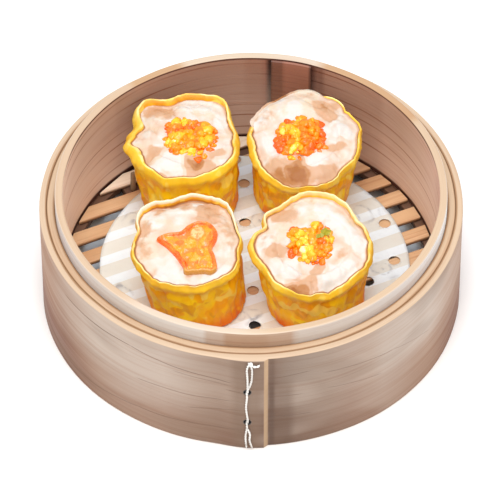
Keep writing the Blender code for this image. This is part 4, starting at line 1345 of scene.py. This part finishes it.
def blush_at(shumai, across, up):
    """The painted shade on the mince, below 0 where it is a painted highlight, at places given in
    shares of the way to the rim.
    """
    x, y, z = across * 2.4, up * 2.4, shumai.seed
    across = across + 0.15 * bumps(x, y, z) + 0.07 * bumps(x * 2.6, y * 2.6, z * 2.6)
    up = up + 0.15 * bumps(x + 7, y + 3, z) + 0.07 * bumps(x * 2.9, y * 2.9, z * 2.9)
    dark = pale = 0
    for x, y, size, strength in shumai.blushes:
        share = strength * np.exp(-(np.hypot(across - x, up - y) / size) ** 2.6)
        dark, pale = np.maximum(dark, share), np.minimum(pale, share)
    return dark + pale


def mince_ring(shumai, edge, share):
    """(points, dips, painted shading) on the mince's top, at a share of the way out to its edge."""
    middle_x, middle_y = shumai.top_centre
    half_x, half_y = shumai.top_half
    edge_up = edge[:, 1] - AXIS_Y - middle_y
    across = (edge[:, 0] - middle_x) * share
    up = edge_up * share
    x, y = middle_x + across, middle_y + up
    from_topping = np.hypot(across - shumai.topping[0], up - shumai.topping[1])
    ring = smoothstep(from_topping - shumai.dent, 0, 0.003)
    fall = 1 - share ** 4
    lumps = mince_lumps(x, y, shumai.seed)
    blush = blush_at(shumai, across / half_x, up / half_y)
    z = top_plane(shumai, x, y)
    z += np.maximum(ring, TOPPING_SUNK / FILLING_BULGE) * FILLING_BULGE * fall
    z += lumps * 0.0009 * (0.4 + 0.6 * ring) * min(1, 0.35 + fall)
    z -= 0.0006 * blush * ring + shumai.gap * np.maximum(0, edge_up) / half_y * share ** 3
    return grid_of(x, y + AXIS_Y, z), np.clip(0.45 - 0.45 * lumps, 0, 1), blush


def build_filling(name, rim, material):
    """The mince, from the wrapper's floor up to its lumpy top."""
    shumai = rim.shumai
    inset = LIP_ROUND + 0.00012 + rim.curl
    spill = spill_share(shumai, rim.turns, 0.95, 0.7)
    gap = shumai.gap * np.maximum(0, rim.sin)
    edge_lift = spill * 0.0012 - 0.0006 - gap
    rows = [rim.ring(0, 0.006, 0.0017), rim.ring(0, inset + 0.001, 0.0026)]
    rows += [rim.ring(level, inset) for level in (0.45, 0.6, 0.72, 0.82, 0.9)]
    rows.append(rim.ring(0.96, inset, -0.0004 - gap))
    if shumai.spill:
        rows.append(rim.ring(1, inset, -0.0004))
        rows.append(rim.ring(1, inset * (1 - 0.5 * spill), edge_lift + 0.0003 * spill))
    edge = rim.ring(1, inset * (1 - spill), edge_lift)
    rows.append(edge)
    # Round the lip the dip mark is set high, which the shader paints as a thin brown line of painted
    # shade, weaker where the mince spills over the rim.
    behind = np.exp(-(angle_between(rim.turns, SPILL_EDGE_AT) / 0.28) ** 2)
    faded = (0.25 + 0.9 * spill) * (1 - behind) - 0.3 * behind
    at_lip = 1.75 + 0.35 * np.cos(rim.turns - LIP_SHADE_AT) - faded * shumai.spill
    dips = [at_lip] * len(rows)
    blushes = [np.zeros(FOOD_ANGLES)] * len(rows)
    for share in np.linspace(1, 0.03, 46)[1:] ** 0.92:
        ring, dip, blush = mince_ring(shumai, edge, share)
        ring[:, 2] += (edge[:, 2] - ring[:, 2]) * smoothstep(share, 0.86, 1)
        rows.append(ring)
        dips.append(dip + (at_lip - dip) * smoothstep(share, LIP_SHADE_FROM, LIP_SHADE_TO))
        blushes.append(blush)
    poles = [rim.foot(0.0018), mince_ring(shumai, edge, 0)[0][0]]
    shape = Shape("dip", "blush")
    shape.add_grid(np.array(rows), poles=poles, dip=np.array(dips), blush=np.array(blushes))
    shape.to_piece(f"{name}_mince", material, "filling", f"{name}_filling")


def topping_place(shumai):
    """The move from a topping's own frame to the sloping dent of its filling."""
    x, y = (middle + off for middle, off in zip(shumai.top_centre, shumai.topping))
    spot = Vector((x, y + AXIS_Y, top_plane(shumai, x, y)))
    return Matrix.Translation(spot) @ Matrix.Rotation(math.radians(shumai.tilt), 4, "X")


def moved(points, matrix):
    return np.array(points) @ np.array(matrix.to_3x3()).T + np.array(matrix.translation)


def ball_template(subdivisions):
    bm = bmesh.new()
    bmesh.ops.create_icosphere(bm, subdivisions=subdivisions, radius=1)
    bm.verts.ensure_lookup_table()
    points = np.array([vert.co[:] for vert in bm.verts])
    faces = np.array([[vert.index for vert in face.verts] for face in bm.faces])
    bm.free()
    return points, faces


def outline_reach(points):
    """The way from the middle to a smooth outline through the points, for any angle."""
    x, y = smooth_path(points, 8, closed=True).T
    return lambda angle: np.interp(angle, np.arctan2(y, x), np.hypot(x, y), period=math.tau)


def clump_core(reach):
    """The low dome below the grains."""
    rings = [(0.8, -0.08), (0.84, 0.15), (0.8, 0.4), (0.68, 0.66), (0.48, 0.86), (0.25, 0.97)]
    share, height = np.array(rings).T[:, :, None]
    angle = math.tau * np.arange(48) / 48
    way = share * reach(angle)
    return grid_of(way * np.cos(angle), way * np.sin(angle), ROE_CORE_HEIGHT * height)


def spread_spots(draw, count):
    """Spots spread evenly but at random over a round of size 1, as (angle, reach)."""
    spots = []
    while len(spots) < count:
        best, best_gap = None, -1
        for _ in range(12):
            angle, reach = draw.uniform(0, math.tau), math.sqrt(draw.random())
            x, y = reach * math.cos(angle), reach * math.sin(angle)
            gap = min((math.hypot(x - a, y - b) for a, b, *_ in spots), default=9)
            if gap > best_gap:
                best, best_gap = (x, y, angle, reach), gap
        spots.append(best)
    return [spot[2:] for spot in spots]


def lump_points(points, radius, draw):
    """An uneven rounded lump made from a ball's points."""
    shift = np.array([draw.uniform(0, 50), draw.uniform(0, 50), 0])
    swell = 1 + 0.34 * bumps(*(points * 1.1 + shift).T) + 0.16 * bumps(*(points * 2.6 + shift).T)
    squash = np.array([draw.uniform(0.95, 1.2), draw.uniform(0.75, 1), draw.uniform(0.65, 0.85)])
    spin = Matrix.Rotation(draw.uniform(0, math.tau), 3, "Z")
    spin = spin @ Matrix.Rotation(draw.uniform(-0.5, 0.5), 3, "X")
    return (points * swell[:, None] * squash * radius) @ np.array(spin).T


def build_roe(name, shumai, outline, yellow, material):
    """A clump of roe: a low core all covered with wet lumps and loose grains."""
    draw = random.Random(shumai.seed)
    place = topping_place(shumai)
    reach = outline_reach(outline)
    shape = Shape("grain")
    poles = moved([(0, 0, -0.0003), (0, 0, ROE_CORE_HEIGHT)], place)
    shape.add_grid(moved(clump_core(reach), place), poles=poles, grain=0.25 + yellow)
    for count, radii, raised, subdivisions in ROE_KINDS:
        points, faces = ball_template(subdivisions)
        for angle, share in spread_spots(draw, count):
            radius = draw.uniform(*radii)
            way = min(1, 1.07 * share) * (reach(angle) - 0.7 * radius)
            x, y = way * math.cos(angle), way * math.sin(angle)
            hills = 0.0012 * float(bumps(x * 220, y * 220, shumai.seed))
            dome = ROE_CORE_HEIGHT * (0.88 - 0.62 * share ** 3) + hills + raised * (1 - share)
            lump = lump_points(points, radius, draw) + np.array([x, y, max(dome, 0.0008)])
            patch = 0.75 * float(bumps(x * 190, y * 190, shumai.seed + 4))
            tone = 0.56 - 0.36 * share ** 4 + patch + draw.uniform(-0.12, 0.12) + yellow
            first = shape.add_points(moved(lump, place).tolist(), grain=tone)
            shape.faces.extend((faces + first).tolist())
    shape.to_piece(f"{name}_roe_clump", material, "roe", f"{name}_roe")


def prawn_height(depth, x, y):
    """The prawn's height as a share of its thickness, from the way in from its outline."""
    ridge = 0.84 + 0.16 * smoothstep(depth, 0, 0.0005)
    hollow = 0.18 * smoothstep(depth, 0.0008, 0.0018) - 0.1 * smoothstep(depth, 0.002, 0.005)
    uneven = 0.14 * bumps(x * 420, y * 420, 4) + 0.06 * bumps(x * 1092, y * 1092, 10.4)
    crease = np.maximum(0, np.sin(x * 1500 + 2 * np.sin(y * 500))) ** 8
    return ridge - hollow + (uneven - 0.12 * crease) * smoothstep(depth, 0.0004, 0.0014)


def build_prawn(name, shumai, material):
    """A curled piece of cooked prawn: a raised red edge round paler flesh."""
    outline = smooth_path(PRAWN_OUTLINE, 10, closed=True)
    walls = np.array([(0.94, -0.05), (0.98, 0.05), (1, 0.25), (1.005, 0.48), (1, 0.7)])
    top = [np.linspace(0.985, 0.7, 20), np.linspace(0.66, 0.06, 13)]
    shares = np.concatenate([walls[:, 0], *top])
    spots = PRAWN_CENTRE + (outline - PRAWN_CENTRE) * shares[:, None, None]
    x, y = spots[..., 0], spots[..., 1]
    depth = np.hypot(x[..., None] - outline[:, 0], y[..., None] - outline[:, 1]).min(axis=-1)
    height = prawn_height(depth, x, y)
    depth[:len(walls)] = 0
    height[:len(walls)] = walls[:, 1:]
    place = topping_place(shumai)
    ends = [(*PRAWN_CENTRE, -0.0002), (*PRAWN_CENTRE, PRAWN_THICKNESS * 0.9)]
    shape = Shape("depth", "cut", "curl")
    shape.add_grid(
        moved(grid_of(x, y, PRAWN_THICKNESS * height), place), poles=moved(ends, place),
        depth=1000 * depth, cut=smoothstep(y, -0.01, -0.0114),
        curl=1000 * np.hypot(x - PRAWN_CURL[0], y - PRAWN_CURL[1]),
    )
    shape.to_piece(f"{name}_prawn_piece", material, "prawn", f"{name}_prawn")


def build_herb(name, shumai, material):
    """A few small chopped leaves on the roe."""
    draw = random.Random(shumai.seed + 1)
    shape = Shape()
    share = np.linspace(-1, 1, 9)[:, None]
    width = 0.00075 * np.sqrt(1 - share * share) + 0.00008
    up = np.array([0, 0, 1])
    for x, y, length in HERB_LEAVES:
        angle = draw.uniform(0, math.tau)
        along = np.array([math.cos(angle), math.sin(angle), 0])
        middle = np.array([x, y, ROE_CORE_HEIGHT + 0.0016])
        spine = middle + share * length / 2 * along + 0.0002 * np.sin(3 * share + angle) * up
        out = width * np.array([-along[1], along[0], 0.25])
        thick = 0.00012 * up
        leaf = np.stack([spine + out, spine + thick, spine - out, spine - thick], axis=1)
        shape.add_grid(moved(leaf, topping_place(shumai)))
    shape.to_piece(f"{name}_herb", material, "roe", sharp_angle=40)


def build_shumai():
    dough = wrapper_material()
    mince = filling_material()
    roe = roe_material()
    for place, shumai in SHUMAI.items():
        name = f"shumai_{place}"
        rim = Rim(shumai)
        build_wrapper(name, rim, dough)
        build_filling(name, rim, mince)
        if place in ROE_OUTLINES:
            build_roe(name, shumai, ROE_OUTLINES[place], ROE_TONES[place], roe)
        else:
            build_prawn(name, shumai, prawn_material())
    build_herb("shumai_front_right", SHUMAI["front_right"], herb_material())


# The lacing

def on_lap(x, z, stand_off):
    """A point over the lapped front of the outer band."""
    turn = math.asin(x / OUTER_RADIUS)
    radius = OUTER_RADIUS + lap_height(math.degrees(turn)) + stand_off
    return radius * math.sin(turn), AXIS_Y - radius * math.cos(turn), z


def through_eyelet(z, side):
    """A run's way into an eyelet from above (side 1) or below (side -1)."""
    x = EYELET_X + 0.00012 * side
    return [
        (x, z + 0.0024 * side, CORD_OFF), (x, z + 0.0012 * side, CORD_OFF),
        (x, z + 0.0004 * side, 0), (x, z + 0.0003 * side, -0.0017 - 0.0002 * side),
    ]


def out_of_eyelet(z):
    return through_eyelet(z, -1)[::-1]


def on_band(*spots):
    return [(x, z, CORD_OFF) for x, z in spots]


def cord_paths():
    """The visible runs of the lacing, as (x, z, distance off the band) triples."""
    upper, lower = EYELET_HEIGHTS
    beside = EYELET_X + 0.0001
    left_run = on_band((-0.0009, 0.0448), (-0.0015, 0.042), (-0.0013, 0.037))
    right_run = on_band((-0.0004, 0.0446), (0.0002, 0.042), (0.0001, 0.037), (-0.0006, 0.0335))
    left_tail = on_band((-0.002, 0.007), (-0.0017, 0.0012))
    right_tail = on_band((-0.0005, 0.0082), (-0.0006, 0.005), (0.0003, 0.0009))
    return [
        left_run + through_eyelet(upper, 1),
        right_run + [(beside, upper + 0.0024, CORD_OFF + 0.0001)],
        out_of_eyelet(upper) + on_band((-0.0018, 0.022)) + through_eyelet(lower, 1),
        out_of_eyelet(lower) + left_tail,
        [(beside, lower - 0.0026, CORD_OFF + 0.0001)] + right_tail,
        on_band((-0.0003, 0.0446), (0.0008, 0.0438), (0.0021, 0.0438), (0.0027, 0.0446)),
    ]


def knot_path():
    """A small overhand knot where the strands meet at the top."""
    t = math.tau * np.arange(62) / 60
    reach = 0.62 + 0.28 * np.cos(3 * t)
    loop = grid_of(reach * np.cos(2 * t), 0.45 * np.sin(3 * t), reach * np.sin(2 * t))
    return on_lap(-0.0004, 0.045, KNOT_RADIUS) + KNOT_RADIUS * loop


def build_lacing():
    shape = Shape()
    for path in cord_paths():
        smooth = smooth_path([on_lap(*spot) for spot in path], 9)
        for phase in (0, math.pi):
            shape.add_grid(tube_grid(smooth, PLY_RADIUS, 8, PLY_OFFSET, PLY_PITCH, phase, taper=4))
    shape.add_grid(tube_grid(knot_path(), 0.00028, 8))
    shape.to_piece("lacing", cord_material(), "cord", "lacing_cord")


# The stage, the light and the camera

def build_stage():
    bm = bmesh.new()
    bmesh.ops.create_circle(bm, cap_ends=True, segments=64, radius=4)
    mesh = bpy.data.meshes.new("studio_floor")
    bm.to_mesh(mesh)
    bm.free()
    material = Graph("studio_floor").finish((0.93, 0.89, 0.85), 0.9, Specular_IOR_Level=0)
    mesh.materials.append(material)
    floor = add_object("studio_floor", mesh)
    floor.location.z = -0.00005


def add_area_light(name, spot, size, power, colour):
    light = bpy.data.lights.new(name, "AREA")
    light.shape = "DISK"
    light.size = size
    light.energy = power
    light.color = colour
    lamp = add_object(name, light)
    lamp.location = spot
    to_food = Vector((0, 0, 0.03)) - Vector(spot)
    lamp.rotation_euler = to_food.to_track_quat("-Z", "Y").to_euler()


def build_light():
    world = bpy.data.worlds.new("studio")
    world.use_nodes = True
    background = world.node_tree.nodes["Background"]
    background.inputs["Color"].default_value = (0.97, 0.98, 1, 1)
    background.inputs["Strength"].default_value = 0.96
    bpy.context.scene.world = world
    add_area_light("key", (-0.07, -0.62, 1.28), 1.1, 13, (1, 0.97, 0.94))
    add_area_light("overhead", (0, 0, 1.6), 0.6, 7, (0.6, 0.79, 1))


def build_camera():
    data = bpy.data.cameras.new("camera")
    data.lens = LENS
    data.sensor_width = 36
    data.clip_start = 0.1
    data.clip_end = 20
    camera = add_object("camera", data)
    tilt = math.radians(ELEVATION)
    back = Vector((0, -math.cos(tilt), math.sin(tilt)))
    camera.location = Vector(AIM) + back * DISTANCE
    camera.rotation_euler = (math.radians(90 - ELEVATION), 0, 0)
    bpy.context.scene.camera = camera


def main():
    bpy.context.scene.view_settings.view_transform = "Standard"
    build_camera()
    build_lacing()
    build_hoops()
    build_floor()
    build_paper()
    build_shumai()
    build_stage()
    build_light()


main()
